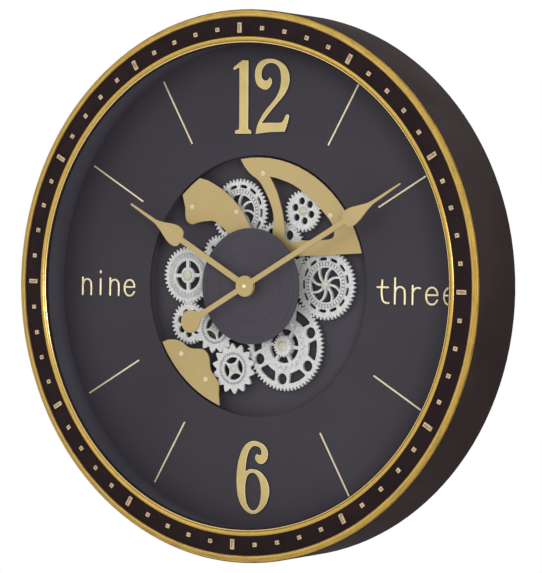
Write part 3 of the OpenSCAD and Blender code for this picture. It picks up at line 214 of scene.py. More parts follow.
lamps = [soft_lamp("key_lamp", place=(-1.0, -2.3, middle_z + 1.4), size=2.2, watts=9),
         soft_lamp("fill_lamp", place=(2.1, -1.9, middle_z + 0.35), size=0.9, watts=36),
         soft_lamp("back_lamp", place=(0.6, 2.2, middle_z + 1.6), size=1.6, watts=26)]
print("lamps:", [lamp.name for lamp in lamps])

# %% [markdown]
# ## Shared effects as node groups
# Some effects are used by more than one finish, so each is built once as a group: a fine mottled grain,
# coordinates that run round the dial, and a rubbed gold that reads them. A group hands out colours, masks and
# normals only. The shader itself stays in each material.

# %% Node group helpers
def new_group(name, inputs, outputs):
    group = bpy.data.node_groups.new(name, "ShaderNodeTree")
    for label, kind, value in inputs:
        socket = group.interface.new_socket(name=label, in_out="INPUT", socket_type="NodeSocket" + kind)
        socket.default_value = value
    for label, kind in outputs:
        group.interface.new_socket(name=label, in_out="OUTPUT", socket_type="NodeSocket" + kind)
    start = group.nodes.new("NodeGroupInput")
    end = group.nodes.new("NodeGroupOutput")
    return group, start, end


def noise(tree, vector, scale, detail, roughness):
    node = tree.nodes.new("ShaderNodeTexNoise")
    for label, value in (("Vector", vector), ("Scale", scale), ("Detail", detail), ("Roughness", roughness)):
        feed(tree, value, node.inputs[label])
    return node.outputs["Fac"]


def spread(tree, value, low, high, to_low=0.0, to_high=1.0):
    """Stretches the part of a value between low and high over a new range."""
    node = tree.nodes.new("ShaderNodeMapRange")
    for label, number in (("From Min", low), ("From Max", high), ("To Min", to_low), ("To Max", to_high)):
        node.inputs[label].default_value = number
    tree.links.new(value, node.inputs["Value"])
    return node.outputs["Result"]


def mix_colour(tree, factor, a, b):
    node = tree.nodes.new("ShaderNodeMix")
    node.data_type = "RGBA"
    for label, value in (("Factor", factor), ("A", a), ("B", b)):
        feed(tree, value, next(socket for socket in node.inputs if socket.name == label and socket.enabled))
    return next(socket for socket in node.outputs if socket.enabled)


def bump(tree, height, strength, distance):
    node = tree.nodes.new("ShaderNodeBump")
    feed(tree, strength, node.inputs["Strength"])
    node.inputs["Distance"].default_value = distance
    tree.links.new(height, node.inputs["Height"])
    return node.outputs["Normal"]


print("helpers: new_group, noise, spread, mix_colour, bump")

# %% [markdown]
# The grain group mottles a colour a little, as sprayed paint or a cast surface does, and gives a shallow bump.
# The same mottle makes the surface a little duller in one place and shinier in the next.

# %% Grain group
grain, grain_in, grain_out = new_group(
    "surface_grain",
    [("Vector", "Vector", (0, 0, 0)), ("Colour", "Color", (0.5, 0.5, 0.5, 1)),
     ("Shade", "Color", (0.4, 0.4, 0.4, 1)), ("Mottle Scale", "Float", 14.0), ("Grain Scale", "Float", 900.0),
     ("Depth", "Float", 0.1)],
    [("Colour", "Color"), ("Roughness Shift", "Float"), ("Normal", "Vector")])
most_shift = 0.06
mottle = noise(grain, grain_in.outputs["Vector"], grain_in.outputs["Mottle Scale"], detail=5.0, roughness=0.6)
speck = noise(grain, grain_in.outputs["Vector"], grain_in.outputs["Grain Scale"], detail=2.0, roughness=0.5)
mottled = mix_colour(grain, spread(grain, mottle, 0.35, 0.65), grain_in.outputs["Colour"],
                     grain_in.outputs["Shade"])
grain.links.new(mottled, grain_out.inputs["Colour"])
grain.links.new(spread(grain, mottle, 0.3, 0.7, -most_shift, most_shift), grain_out.inputs["Roughness Shift"])
grain.links.new(bump(grain, speck, grain_in.outputs["Depth"], 0.2 * mm), grain_out.inputs["Normal"])
print("group:", grain.name)

# %% [markdown]
# The dark wash over the gold is wiped on by hand round the clock, so its streaks run along the rim. Their noise
# is read in polar form: the direction from the dial's middle, and the distance from it. The polar group works
# these out.

# %% Coordinates about the dial
polar, polar_in, polar_out = new_group(
    "about_the_dial",
    [("Vector", "Vector", (0, 0, 0)), ("Along", "Float", 1.0), ("Across", "Float", 1.0)],
    [("Radius", "Float"), ("Vector", "Vector")])
split = polar.nodes.new("ShaderNodeSeparateXYZ")
polar.links.new(polar_in.outputs["Vector"], split.inputs[0])
from_x = math_node(polar, "SUBTRACT", split.outputs["X"], middle_x)
from_z = math_node(polar, "SUBTRACT", split.outputs["Z"], middle_z)
radius = math_node(polar, "SQRT", math_node(polar, "ADD", math_node(polar, "MULTIPLY", from_x, from_x),
                                            math_node(polar, "MULTIPLY", from_z, from_z)))
flat = polar.nodes.new("ShaderNodeCombineXYZ")
for axis, part, scale in (("X", math_node(polar, "DIVIDE", from_x, radius), "Along"),
                          ("Y", math_node(polar, "DIVIDE", from_z, radius), "Along"),
                          ("Z", math_node(polar, "ADD", radius, split.outputs["Y"]), "Across")):
    polar.links.new(math_node(polar, "MULTIPLY", part, polar_in.outputs[scale]), flat.inputs[axis])
polar.links.new(radius, polar_out.inputs["Radius"])
polar.links.new(flat.outputs[0], polar_out.inputs["Vector"])
print("group:", polar.name)

# %% [markdown]
# The rubbed group decides where the dark wash stays: in the grooves that a finish names, and in streaks between
# them. A finer noise drifts the gold itself between two tones, and where there is wash the surface is rougher.

# %% Rubbed gold group
rubbed, rubbed_in, rubbed_out = new_group(
    "rubbed_gold",
    [("Streaks", "Vector", (0, 0, 0)), ("Gold", "Color", (0.6, 0.4, 0.1, 1)),
     ("Deep Gold", "Color", (0.3, 0.2, 0.05, 1)), ("Wash", "Color", (0.1, 0.05, 0.02, 1)),
     ("Groove", "Float", 0.0), ("Amount", "Float", 0.3)],
    [("Colour", "Color"), ("Roughness", "Float"), ("Height", "Float")])
gold_rough = 0.24
wash_adds_rough = 0.35
streak = noise(rubbed, rubbed_in.outputs["Streaks"], scale=9.0, detail=6.0, roughness=0.65)
fine_streak = noise(rubbed, rubbed_in.outputs["Streaks"], scale=46.0, detail=4.0, roughness=0.6)
streaked = math_node(rubbed, "MULTIPLY", spread(rubbed, streak, 0.46, 0.74), rubbed_in.outputs["Amount"])
wash = math_node(rubbed, "MINIMUM", math_node(rubbed, "ADD", streaked, rubbed_in.outputs["Groove"]), 1.0)
gold_tone = mix_colour(rubbed, spread(rubbed, fine_streak, 0.36, 0.66), rubbed_in.outputs["Gold"],
                       rubbed_in.outputs["Deep Gold"])
rubbed.links.new(mix_colour(rubbed, wash, gold_tone, rubbed_in.outputs["Wash"]), rubbed_out.inputs["Colour"])
worn_rough = math_node(rubbed, "ADD", math_node(rubbed, "MULTIPLY", wash, wash_adds_rough), gold_rough)
rubbed.links.new(worn_rough, rubbed_out.inputs["Roughness"])
rubbed.links.new(fine_streak, rubbed_out.inputs["Height"])
print("group:", rubbed.name)

# %% [markdown]
# ## Finishes
# Every finish starts from one helper that adds a Principled shader and the object's own coordinates. Plain
# numbers are set on the shader's sockets, and only what changes over the surface is linked.

# %% Material helpers
lacquer_roughness = 0.1


def new_finish(name, metallic, roughness, coat=0.0, specular=0.5):
    material = bpy.data.materials.new(name)
    material.use_nodes = True
    tree = material.node_tree
    shader = tree.nodes["Principled BSDF"]
    for label, value in (("Metallic", metallic), ("Roughness", roughness), ("Coat Weight", coat),
                         ("Coat Roughness", lacquer_roughness), ("Specular IOR Level", specular)):
        shader.inputs[label].default_value = value
    place = tree.nodes.new("ShaderNodeTexCoord").outputs["Object"]
    return material, tree, shader, place


def use_group(tree, group, **values):
    node = tree.nodes.new("ShaderNodeGroup")
    node.node_tree = group
    for name, value in values.items():
        feed(tree, value, node.inputs[name.replace("_", " ")])
    return node.outputs


def grained(name, colour, shade, roughness, mottle, speck, depth, metallic=0.0, coat=0.0, specular=0.5):
    """A finish that drifts from its colour to its shade. mottle and speck are the scales of the two noises."""
    material, tree, shader, place = new_finish(name, metallic, roughness, coat, specular)
    skin = use_group(tree, grain, Vector=place, Colour=(*colour, 1), Shade=(*shade, 1),
                     Mottle_Scale=mottle, Grain_Scale=speck, Depth=depth)
    tree.links.new(skin["Colour"], shader.inputs["Base Color"])
    tree.links.new(math_node(tree, "ADD", skin["Roughness Shift"], roughness), shader.inputs["Roughness"])
    tree.links.new(skin["Normal"], shader.inputs["Normal"])
    return material


print("helpers: new_finish, use_group, grained")

# %% [markdown]
# The case, the track, the dial and the well behind the wheels are sprayed with matt paint. All are dark, and
# they differ by small steps: the case is a black brown, the track a darker red brown, and the dial a grey that
# leans to violet, a little lighter in the well. The wheels are cast and painted a dull silver.

# %% Paints
case_paint = grained("case_paint", (0.025, 0.016, 0.0155), (0.017, 0.011, 0.011),
                     roughness=0.7, mottle=6.0, speck=700.0, depth=0.3, specular=0.03)
track_paint = grained("track_paint", (0.0125, 0.0045, 0.0055), (0.008, 0.003, 0.0035),
                      roughness=0.6, mottle=30.0, speck=900.0, depth=0.15, specular=0.12)
dial_paint = grained("dial_paint", (0.035, 0.031, 0.040), (0.0295, 0.0265, 0.0345),
                     roughness=0.6, mottle=5.0, speck=1200.0, depth=0.08, specular=0.22)
well_paint = grained("well_paint", (0.050, 0.044, 0.056), (0.042, 0.037, 0.048),
                     roughness=0.6, mottle=5.0, speck=1200.0, depth=0.08, specular=0.22)
wheel_paint = grained("wheel_silver", (0.64, 0.65, 0.635), (0.47, 0.475, 0.465),
                      roughness=0.45, mottle=420.0, speck=1500.0, depth=0.35, metallic=0.35)
# Painted shade: the grey ring under the ribs and dots of the wheels.
relief_shade_grey = grained("relief_shade_grey", (0.27, 0.275, 0.27), (0.17, 0.175, 0.17),
                      roughness=0.6, mottle=420.0, speck=1500.0, depth=0.3, metallic=0.2)
print("materials so far:", len(bpy.data.materials))

# %% [markdown]
# The caps and rivets are enamelled, so they have a thin clear coat over their cream. The movement is moulded in
# plain plastic, and what carries or drives the wheels is steel or brass.

# %% Enamels, mouldings and metals
cap_enamel = grained("cap_enamel", (0.52, 0.50, 0.39), (0.40, 0.38, 0.28),
                     roughness=0.3, mottle=160.0, speck=900.0, depth=0.05, coat=0.4)
rivet_enamel = grained("rivet_enamel", (0.64, 0.56, 0.38), (0.52, 0.44, 0.28),
                       roughness=0.3, mottle=160.0, speck=900.0, depth=0.05, coat=0.4)
black_moulding = grained("black_moulding", (0.018, 0.018, 0.020), (0.013, 0.013, 0.014),
                         roughness=0.5, mottle=20.0, speck=900.0, depth=0.3)
white_moulding = grained("white_moulding", (0.72, 0.71, 0.67), (0.62, 0.61, 0.57),
                         roughness=0.4, mottle=40.0, speck=900.0, depth=0.1)
bright_steel = grained("bright_steel", (0.56, 0.57, 0.59), (0.42, 0.43, 0.45),
                       roughness=0.3, mottle=50.0, speck=1200.0, depth=0.1, metallic=1.0)
dark_steel = grained("dark_steel", (0.070, 0.070, 0.075), (0.045, 0.045, 0.050),
                     roughness=0.5, mottle=50.0, speck=1200.0, depth=0.1, metallic=0.5)
turned_brass = grained("turned_brass", (0.66, 0.48, 0.20), (0.52, 0.36, 0.14),
                       roughness=0.32, mottle=50.0, speck=1200.0, depth=0.1, metallic=1.0)
cell_jacket = grained("cell_jacket", (0.28, 0.20, 0.06), (0.20, 0.15, 0.05),
                      roughness=0.3, mottle=40.0, speck=900.0, depth=0.05, metallic=0.6)
print("materials so far:", len(bpy.data.materials))

# %% [markdown]
# The bridges, the hands and the numerals are painted gold and not plated: they are only half metallic and
# rather rough, so they keep their colour from every side. The lines and the words are a paler cream. The eased
# edges of the numerals get a cream painted highlight and their sides a dark painted shade. The marks are cream
# on top, with a brown painted shade in the hollow.

# %% Golds and creams
bridge_gold = grained("bridge_gold", (0.46, 0.35, 0.155), (0.42, 0.315, 0.138),
                      roughness=0.45, mottle=10.0, speck=1500.0, depth=0.12, metallic=0.5)
figure_gold = grained("figure_gold", (0.58, 0.45, 0.18), (0.52, 0.395, 0.15),
                      roughness=0.4, mottle=60.0, speck=1500.0, depth=0.2, metallic=0.5)
# Painted highlight: the pale cream of the numerals' eased edges.
edge_highlight_cream = grained("edge_highlight_cream", (0.80, 0.70, 0.46), (0.70, 0.60, 0.38),
                     roughness=0.35, mottle=60.0, speck=1500.0, depth=0.1, metallic=0.4)
# Painted shade: the dark bronze of the numerals' sides.
side_shade_bronze = grained("side_shade_bronze", (0.10, 0.060, 0.025), (0.06, 0.035, 0.015),
                      roughness=0.5, mottle=60.0, speck=1500.0, depth=0.1, metallic=0.3)
mark_cream = grained("mark_cream", (0.66, 0.50, 0.31), (0.38, 0.27, 0.15),
                     roughness=0.5, mottle=260.0, speck=900.0, depth=0.5, metallic=0.25)
# Painted shade: the brown in the hollows of the marks.
mark_hollow_shade = grained("mark_hollow_shade", (0.34, 0.24, 0.13), (0.22, 0.15, 0.08),
                      roughness=0.6, mottle=260.0, speck=900.0, depth=0.3, metallic=0.2)
line_cream = grained("line_cream", (0.72, 0.64, 0.44), (0.62, 0.54, 0.36),
                     roughness=0.4, mottle=60.0, speck=1500.0, depth=0.15, metallic=0.4)
word_cream = grained("word_cream", (0.84, 0.75, 0.50), (0.74, 0.63, 0.38),
                     roughness=0.35, mottle=90.0, speck=1200.0, depth=0.1, metallic=0.35)
print("materials so far:", len(bpy.data.materials))

# %% [markdown]
# The wall between the bezel and the dial has the dial's paint, set a little lighter as painted light. Under the
# bead's lip it has a dark line of painted shade, and more painted shade darkens it a little towards its foot by
# the dial.
# Masks on the depth, read from the object's own coordinates, mix the three tones.

# %% Wall paint with painted shade at the lip and foot
wall_roughness = 0.6
# Painted shade: a near black line under the bead's lip, and a darker tone at the wall's foot.
lip_painted_shade = (0.006, 0.004, 0.005, 1)
foot_painted_shade = (0.044, 0.040, 0.050, 1)
lip_shade_full_for, lip_shade_gone_by, foot_shade_high = 3.2 * mm, 4.6 * mm, 16 * mm
wall_paint, wall_tree, wall_shader, wall_place = new_finish("wall_paint", 0.0, wall_roughness, specular=0.15)
wall_skin = use_group(wall_tree, grain, Vector=wall_place, Colour=(0.066, 0.062, 0.078, 1),
                      Shade=(0.054, 0.050, 0.064, 1), Mottle_Scale=8.0, Grain_Scale=900.0, Depth=0.1)
wall_split = wall_tree.nodes.new("ShaderNodeSeparateXYZ")
wall_tree.links.new(wall_place, wall_split.inputs[0])
wall_depth = wall_split.outputs["Y"]
lip_y = front_of("inner_wall")
# Masks of the painted shade under the lip and at the foot.
lip_shade_mask = spread(wall_tree, wall_depth, lip_y + lip_shade_full_for, lip_y + lip_shade_gone_by, 1.0, 0.0)
foot_shade_mask = spread(wall_tree, wall_depth, dial_front - foot_shade_high, dial_front)
wall_with_foot_shade = mix_colour(wall_tree, foot_shade_mask, wall_skin["Colour"], foot_painted_shade)
wall_tree.links.new(mix_colour(wall_tree, lip_shade_mask, wall_with_foot_shade, lip_painted_shade), wall_shader.inputs["Base Color"])
wall_tree.links.new(math_node(wall_tree, "ADD", wall_skin["Roughness Shift"], wall_roughness),
                    wall_shader.inputs["Roughness"])
wall_tree.links.new(wall_skin["Normal"], wall_shader.inputs["Normal"])
print("the lip of the well's wall is", round(-lip_y / mm, 1), "mm off the wall behind")

# %% [markdown]
# The two beads of the bezel are the clock's brightest gold. Their dark wash lies in the grooves, and one crest
# of each gets a painted highlight in pale gold. A band of radius tells the shader where each of these is, and
# the rubbed group does the rest.

# %% Bezel gold
bead_metallic = 0.6
bead_roughness = 0.34
band_core = 0.45
# Pale gold of the painted highlight on one crest of each bead.
highlight_cream_gold = (0.88, 0.76, 0.46, 1)


def band(tree, radius, centre, half, strength):
    """A mask of this strength on one circle of the dial, gone at half a width from it. Sizes in millimetres."""
    away = math_node(tree, "ABSOLUTE", math_node(tree, "SUBTRACT", radius, centre * mm))
    return math_node(tree, "MULTIPLY", spread(tree, away, half * band_core * mm, half * mm, 1.0, 0.0), strength)


def bezel_gold(name, gold, deep_gold, dark, grooves, lip, amount, dull):
    """Grooves and lip are bands: radius, half width and strength. The lip band is a painted highlight. dull is
    added to the roughness.
    """
    material, tree, shader, place = new_finish(name, bead_metallic, bead_roughness)
    about = use_group(tree, polar, Vector=place, Along=1.5, Across=60.0)
    first, second = [band(tree, about["Radius"], *groove) for groove in grooves]
    skin = use_group(tree, rubbed, Streaks=about["Vector"], Gold=(*gold, 1), Deep_Gold=(*deep_gold, 1),
                     Wash=(*dark, 1), Groove=math_node(tree, "MAXIMUM", first, second), Amount=amount)
    # Painted highlight: a pale gold band where the crest catches the light.
    highlight_mask = band(tree, about["Radius"], *lip)
    tree.links.new(mix_colour(tree, highlight_mask, skin["Colour"], highlight_cream_gold), shader.inputs["Base Color"])
    tree.links.new(math_node(tree, "ADD", skin["Roughness"], dull), shader.inputs["Roughness"])
    tree.links.new(bump(tree, skin["Height"], strength=0.3, distance=0.4 * mm), shader.inputs["Normal"])
    return material


outer_gold = bezel_gold("outer_bead_gold", gold=(0.54, 0.345, 0.055), deep_gold=(0.36, 0.22, 0.035),
                        dark=(0.07, 0.03, 0.01), grooves=[(291.6, 0.9, 0.95), (298.9, 0.5, 0.5)],
                        lip=(293.9, 0.7, 0.2), amount=0.6, dull=0.10)
inner_gold = bezel_gold("inner_bead_gold", gold=(0.60, 0.39, 0.075), deep_gold=(0.45, 0.28, 0.045),
                        dark=(0.20, 0.11, 0.04), grooves=[(265.8, 0.5, 0.45), (270.9, 0.7, 0.8)],
                        lip=(264.7, 0.7, 0.5), amount=0.25, dull=0.0)
print("bezel finishes:", outer_gold.name, inner_gold.name)

# %% [markdown]
# The solids that stay as they are get their finishes by name. Those that a new piece stands in for need none.

# %% Assign the finishes to the CAD pieces
def finish(material, *names):
    for name in names:
        piece = nodes[name]
        piece.data.materials.clear()
        piece.data.materials.append(material)


finish(case_paint, "case_drum", "rear_cover")
finish(wall_paint, "inner_wall")
finish(dial_paint, "dial_plate")
finish(well_paint, "recess_pan", "centre_disc", "centre_spacer")
finish(wheel_paint, "main_wheel", "main_rosette", "main_pinion", "right_wheel", "centre_wheel", "top_wheel",
       "window_wheel", "idler_wheel", "left_wheel", "lower_wheel", "inner_star_wheel", "outer_star_wheel")
finish(dark_steel, "inner_star_pinion")
finish(rivet_enamel, "bridge_rivets")
finish(black_moulding, "movement_case", "cell_box")
finish(white_moulding, "set_knob")
finish(bright_steel, "axle_posts", "gear_motor", "minute_arbor", "cover_screws", "hanger_plate", "hanger_rivets",
       "wall_screws", "pan_screws", "motor_screws", "time_contacts", "gear_contacts")
finish(turned_brass, "bridge_pillars", "motor_pinion", "movement_bush", "bush_nut", "hour_tube")
finish(cell_jacket, "time_cell", "gear_cell")
for name in ("case_drum", "dial_plate", "main_wheel", "gear_motor"):
    print(name, "has", nodes[name].data.materials[0].name)

# %% [markdown]
# ## The bezel's rings
# The bezel is a dark track between two rounded gold beads. Each is turned about the dial's middle, like wood on
# a lathe: a circle of points stands at the ring's place, the points take the shape of its section, and spin
# carries the section round. The beads are a little slimmer than the plain solids, so these rings stand in for
# those.

# %% Turning a ring
merge_gap = 0.01 * mm
ring_smooth = math.radians(38)


def deselect_all():
    bpy.ops.object.select_all(action="DESELECT")


def merge_and_face_out(gap):
    """Closes the seams of the piece that is being edited, and turns its faces outwards."""
    bpy.ops.mesh.select_all(action="SELECT")
    bpy.ops.mesh.remove_doubles(threshold=gap)
    bpy.ops.mesh.normals_make_consistent(inside=False)


def turned_ring(name, section, body, material, about=(middle_x, middle_z), steps=192):
    """A ring turned from a closed section, given as (radius, height off the wall) in millimetres."""
    deselect_all()
    bpy.ops.mesh.primitive_circle_add(vertices=len(section), radius=mm, fill_type="NOTHING",
                                      location=(0, 0, 0))
    ring = bpy.context.object
    ring.name = name
    ring.data.name = name
    bpy.ops.object.mode_set(mode="EDIT")
    shape = bmesh.from_edit_mesh(ring.data)
    for vert, (ring_r, height) in zip(shape.verts, section):
        vert.co = (about[0] + ring_r * mm, -height * mm, about[1])
    bmesh.update_edit_mesh(ring.data)
    bpy.ops.mesh.select_all(action="SELECT")
    bpy.ops.mesh.spin(steps=steps, angle=2 * math.pi, center=(about[0], 0, about[1]), axis=(0, 1, 0))
    merge_and_face_out(merge_gap)
    bpy.ops.object.mode_set(mode="OBJECT")
    bpy.ops.object.shade_smooth_by_angle(angle=ring_smooth)
    ring.data.materials.append(material)
    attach(ring, body)
    return ring


print("helpers: deselect_all, merge_and_face_out, turned_ring")

# %% [markdown]
# The sections start at the height where the rings stand on the case's flange. The outer bead rolls over to a
# small second bead at the rim. The inner one begins with a fine lip and a groove before its round. The track is
# a flat strip between them.

# %% Beads and track
track_tall = 2.0
foot = -front_of("minute_track") / mm - track_tall
outer_bead = turned_ring("outer_bead", [
    (291.3, foot), (291.3, foot + 1.7), (291.5, foot + 2.3), (292.0, foot + 2.8), (292.8, foot + 3.2),
    (294.3, foot + 3.4), (295.8, foot + 3.2), (296.8, foot + 2.8), (297.6, foot + 2.4), (297.9, foot + 2.4),
    (298.2, foot + 2.5), (298.7, foot + 2.3), (299.1, foot + 1.8), (299.3, foot + 1.0), (299.3, foot)],
    "clock_body", outer_gold)
inner_bead = turned_ring("inner_bead", [
    (264.3, foot), (264.3, foot + 1.0), (264.7, foot + 1.4), (265.4, foot + 1.35), (265.7, foot + 0.9),
    (266.0, foot + 1.3), (266.5, foot + 2.1), (267.2, foot + 2.75), (268.2, foot + 3.05), (269.3, foot + 2.95),
    (270.2, foot + 2.5), (270.8, foot + 1.8), (270.9, foot + 0.9), (270.9, foot)],
    "clock_body", inner_gold)
track = turned_ring("marked_track", [
    (270.4, foot + 0.1), (270.4, foot + 1.9), (270.7, foot + track_tall), (291.5, foot + track_tall),
    (291.7, foot + 1.9), (291.7, foot + 0.1)], "clock_body", track_paint)
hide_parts("outer_rim")
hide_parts("inner_rim")
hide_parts("minute_track")
print("turned rings:", [(ring.name, len(ring.data.polygons)) for ring in (outer_bead, inner_bead, track)])

# %% [markdown]
# ## Relief on the wheels
# Wheels such as these are cast, and their flat rims carry fine ribs and dots that catch the light. The relief
# has to sit on each wheel's face, so the face is looked for with rays from the front, at the radius of the
# relief. A ray may fall through a window of the wheel, and then the next one is tried.

# %% Where the axles and faces are
axles = {joint["child"]: Vector(joint["pos_m"]) for joint in frame["joints"]}
wheel_bodies = {"right_wheel": "right_wheel", "top_wheel": "top_wheel", "left_wheel": "left_wheel",
                "inner_star_wheel": "inner_star", "outer_star_wheel": "outer_star"}
before_clock_y = -0.2
least_forward = 0.9


def looks_forward(normal):
    """True where a face looks out of the clock."""
    return -normal.y > least_forward


def face_of(node, ring_r):
    """How far off the wall the wheel's face lies at this radius, in millimetres."""
    axle = axles[wheel_bodies[node]]
    for degrees in range(4, 364, 15):
        turn = math.radians(degrees)
        start = Vector((axle.x + ring_r * mm * math.cos(turn), before_clock_y,
                        axle.z + ring_r * mm * math.sin(turn)))
        hit, place, normal = nodes[node].ray_cast(start, Vector((0, 1, 0)))[:3]
        if hit and looks_forward(normal):
            return -place.y / mm


print("the right wheel's face is", round(face_of("right_wheel", 23), 2), "mm off the wall")

# %% [markdown]
# One rib starts as a cube near the wheel's edge, and one dot as a short cylinder. The front of each is drawn
# in, so that it would leave a mould, and then it is copied round the axle. The ribs or dots lie on a thin grey
# ring, which is painted shade for the ground between them.

# %% Shaping and copying
def draw_in_front(piece, place, amount):
    """Selects the face that looks out of the clock and makes it smaller."""
    bpy.ops.object.mode_set(mode="EDIT")
    bpy.ops.mesh.select_all(action="DESELECT")
    shape = bmesh.from_edit_mesh(piece.data)
    for face in shape.faces:
        face.select = looks_forward(face.normal)
    shape.select_flush(True)
    bmesh.update_edit_mesh(piece.data)
    bpy.ops.transform.resize(value=amount, center_override=place)
    bpy.ops.object.mode_set(mode="OBJECT")


def joined(pieces, name):
    """Joins pieces into the first of them."""
    deselect_all()
    for piece in pieces:
        piece.select_set(True)
    bpy.context.view_layer.objects.active = pieces[0]
    bpy.ops.object.join()
    whole = bpy.context.object
    whole.name = name
    return whole


def copied_round(first, pivot, turns, name):
    """Copies a piece about a point of the clock's front, each copy with its own mesh, and joins the copies."""
    to_pivot = Matrix.Translation((pivot.x, 0, pivot.z))
    copies = []
    for degrees in turns:
        copy = add_object(name, first.data.copy())
        copy.data.transform(to_pivot @ Matrix.Rotation(math.radians(degrees), 4, "Y") @ to_pivot.inverted())
        copies.append(copy)
    bpy.data.objects.remove(first)
    return joined(copies, name)


def evenly(count):
    return [360 * step / count for step in range(count)]


print("helpers: draw_in_front, joined, copied_round, evenly")

# %% Ribs and dots
shade_ring_sunk, rib_shade_ring_rise, dot_shade_ring_rise = 0.05, 0.1, 0.06
rib_taper, dot_taper = (0.88, 1, 0.7), (0.6, 1, 0.6)
rib_margin = 0.5
dot_sides = 8


def relief_shade_ring(node, inner_r, outer_r, rise, tall):
    """The grey ring of painted shade under a band of relief. Returns where the first rib or dot has its middle.
    """
    axle = axles[wheel_bodies[node]]
    middle_r = (inner_r + outer_r) / 2
    face = face_of(node, middle_r)
    section = [(inner_r, face - shade_ring_sunk), (inner_r, face + rise), (outer_r, face + rise),
               (outer_r, face - shade_ring_sunk)]
    turned_ring(node + "_shade_ring", section, wheel_bodies[node], relief_shade_grey,
                about=(axle.x, axle.z), steps=96)
    deselect_all()
    return Vector((axle.x + middle_r * mm, -(face + tall / 2) * mm, axle.z))


def relief_round(node, place, taper, count, name):
    """Draws the new rib or dot in, copies it round its wheel and lets the wheel carry it."""
    first = bpy.context.object
    bpy.ops.object.transform_apply(location=True, rotation=True, scale=True)
    draw_in_front(first, place, taper)
    relief = copied_round(first, axles[wheel_bodies[node]], evenly(count), name)
    relief.data.materials.append(wheel_paint)
    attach(relief, wheel_bodies[node])
    return relief


def ribbed_band(node, inner_r, outer_r, count, wide, tall):
    place = relief_shade_ring(node, inner_r, outer_r, rib_shade_ring_rise, tall)
    bpy.ops.mesh.primitive_cube_add(size=1, location=place,
                                    scale=((outer_r - inner_r - rib_margin) * mm, tall * mm, wide * mm))
    return relief_round(node, place, rib_taper, count, node + "_ribs")


def dotted_band(node, inner_r, outer_r, count, dot_r, tall):
    place = relief_shade_ring(node, inner_r, outer_r, dot_shade_ring_rise, tall)
    bpy.ops.mesh.primitive_cylinder_add(vertices=dot_sides, radius=dot_r * mm, depth=tall * mm, location=place,
                                        rotation=(math.pi / 2, 0, 0))
    return relief_round(node, place, dot_taper, count, node + "_dots")


reliefs = [ribbed_band("right_wheel", 21.1, 24.9, count=38, wide=2.2, tall=0.5),
           ribbed_band("top_wheel", 21.1, 24.9, count=38, wide=2.2, tall=0.5),
           ribbed_band("left_wheel", 20.0, 25.0, count=66, wide=1.25, tall=0.3),
           dotted_band("inner_star_wheel", 15.6, 17.6, count=32, dot_r=0.75, tall=0.28),
           dotted_band("outer_star_wheel", 15.6, 17.6, count=32, dot_r=0.75, tall=0.28)]
print("relief:", [(piece.name, len(piece.data.polygons)) for piece in reliefs])

# %% [markdown]
# ## Soft edges on the gold plates
# The bridges and the hands are cut from plate and their edges are eased, so each keeps a fine bright line round
# its outline. The solid has sharp edges, so a copy of it is merged, its flat faces are cleared of inner edges,
# and a bevel is applied to what is left, which is the outline alone.

# %% Plates with eased edges
plate_merge_gap = 0.005 * mm
plate_smooth = math.radians(14)
flat_within = math.radians(2)
sharp_from = math.radians(50)
bridge_edge, hand_edge = 0.3, 0.25


def eased_copy(node, body, width):
    deselect_all()
    piece = nodes[node].copy()
    piece.data = nodes[node].data.copy()
    piece.name = node + "_eased"
    piece.data.name = piece.name
    piece.parent = None
    bpy.context.scene.collection.objects.link(piece)
    piece.select_set(True)
    bpy.context.view_layer.objects.active = piece
    bpy.ops.object.mode_set(mode="EDIT")
    bpy.ops.mesh.select_all(action="SELECT")
    bpy.ops.mesh.remove_doubles(threshold=plate_merge_gap)
    bpy.ops.mesh.dissolve_limited(angle_limit=flat_within)
    bpy.ops.object.mode_set(mode="OBJECT")
    easing = piece.modifiers.new("eased", "BEVEL")
    easing.width = width * mm
    easing.segments = 2
    easing.limit_method = "ANGLE"
    easing.angle_limit = sharp_from
    bpy.ops.object.modifier_apply(modifier=easing.name)
    bpy.ops.object.shade_smooth_by_angle(angle=plate_smooth)
    piece.data.materials.clear()
    piece.data.materials.append(bridge_gold)
    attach(piece, body)
    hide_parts(node)
    return piece


plates = [eased_copy(bridge, "clock_body", bridge_edge)
          for bridge in ("bridge_left", "bridge_top", "bridge_bottom")]
plates += [eased_copy(hand, hand, hand_edge) for hand in ("hour_hand", "minute_hand")]
print("eased plates:", [(plate.name, len(plate.data.polygons)) for plate in plates])

# %% [markdown]
# The minute hand's spear draws in to a thin tip that leans a little to one side. The vertices beyond the leaf
# are moved towards the hand's own line, by a share that grows smoothly along it, as a file would take the metal
# off. The tip is also drawn back a little.

# %% Slimmer spear on the minute hand
slim_from, slim_over, slim_by, lean = 168, 40, 0.26, 1.2
shorten_from, shorten_over, shorten_by = 160, 60, 1.5
spear = plates[-1]
hand_axle = axles["minute_hand"]


def from_hand_axle(point):
    return Vector((point.x - hand_axle.x, 0, point.z - hand_axle.z))


def share_beyond(reach, start, over):
    return min(max((reach - start) / over, 0), 1)


along = max((from_hand_axle(vert.co) for vert in spear.data.vertices), key=lambda arm: arm.length).normalized()
aside = Vector((along.z, 0, -along.x))
for vert in spear.data.vertices:
    arm = from_hand_axle(vert.co)
    reach = arm.dot(along) / mm
    slim = share_beyond(reach, slim_from, slim_over)
    slim = slim * slim * (3 - 2 * slim)
    vert.co -= aside * (arm.dot(aside) * slim_by + lean * mm) * slim
    vert.co -= along * shorten_by * mm * share_beyond(reach, shorten_from, shorten_over)
hand_reach = max(from_hand_axle(vert.co).length for vert in spear.data.vertices)
print("spear slimmed, the minute hand reaches", round(hand_reach / mm, 1), "mm from its axle")

# %% [markdown]
# ## The numerals
# The twelve and the six have curled terminals and full round bowls. Each outline, and the hole in the bowl, is
# drawn as a closed bezier spline in one flat curve, which fills between them. The points are in millimetres
# from the dial's middle, and go round the figure. Where a figure has a sharp corner, the point is listed as
# such.

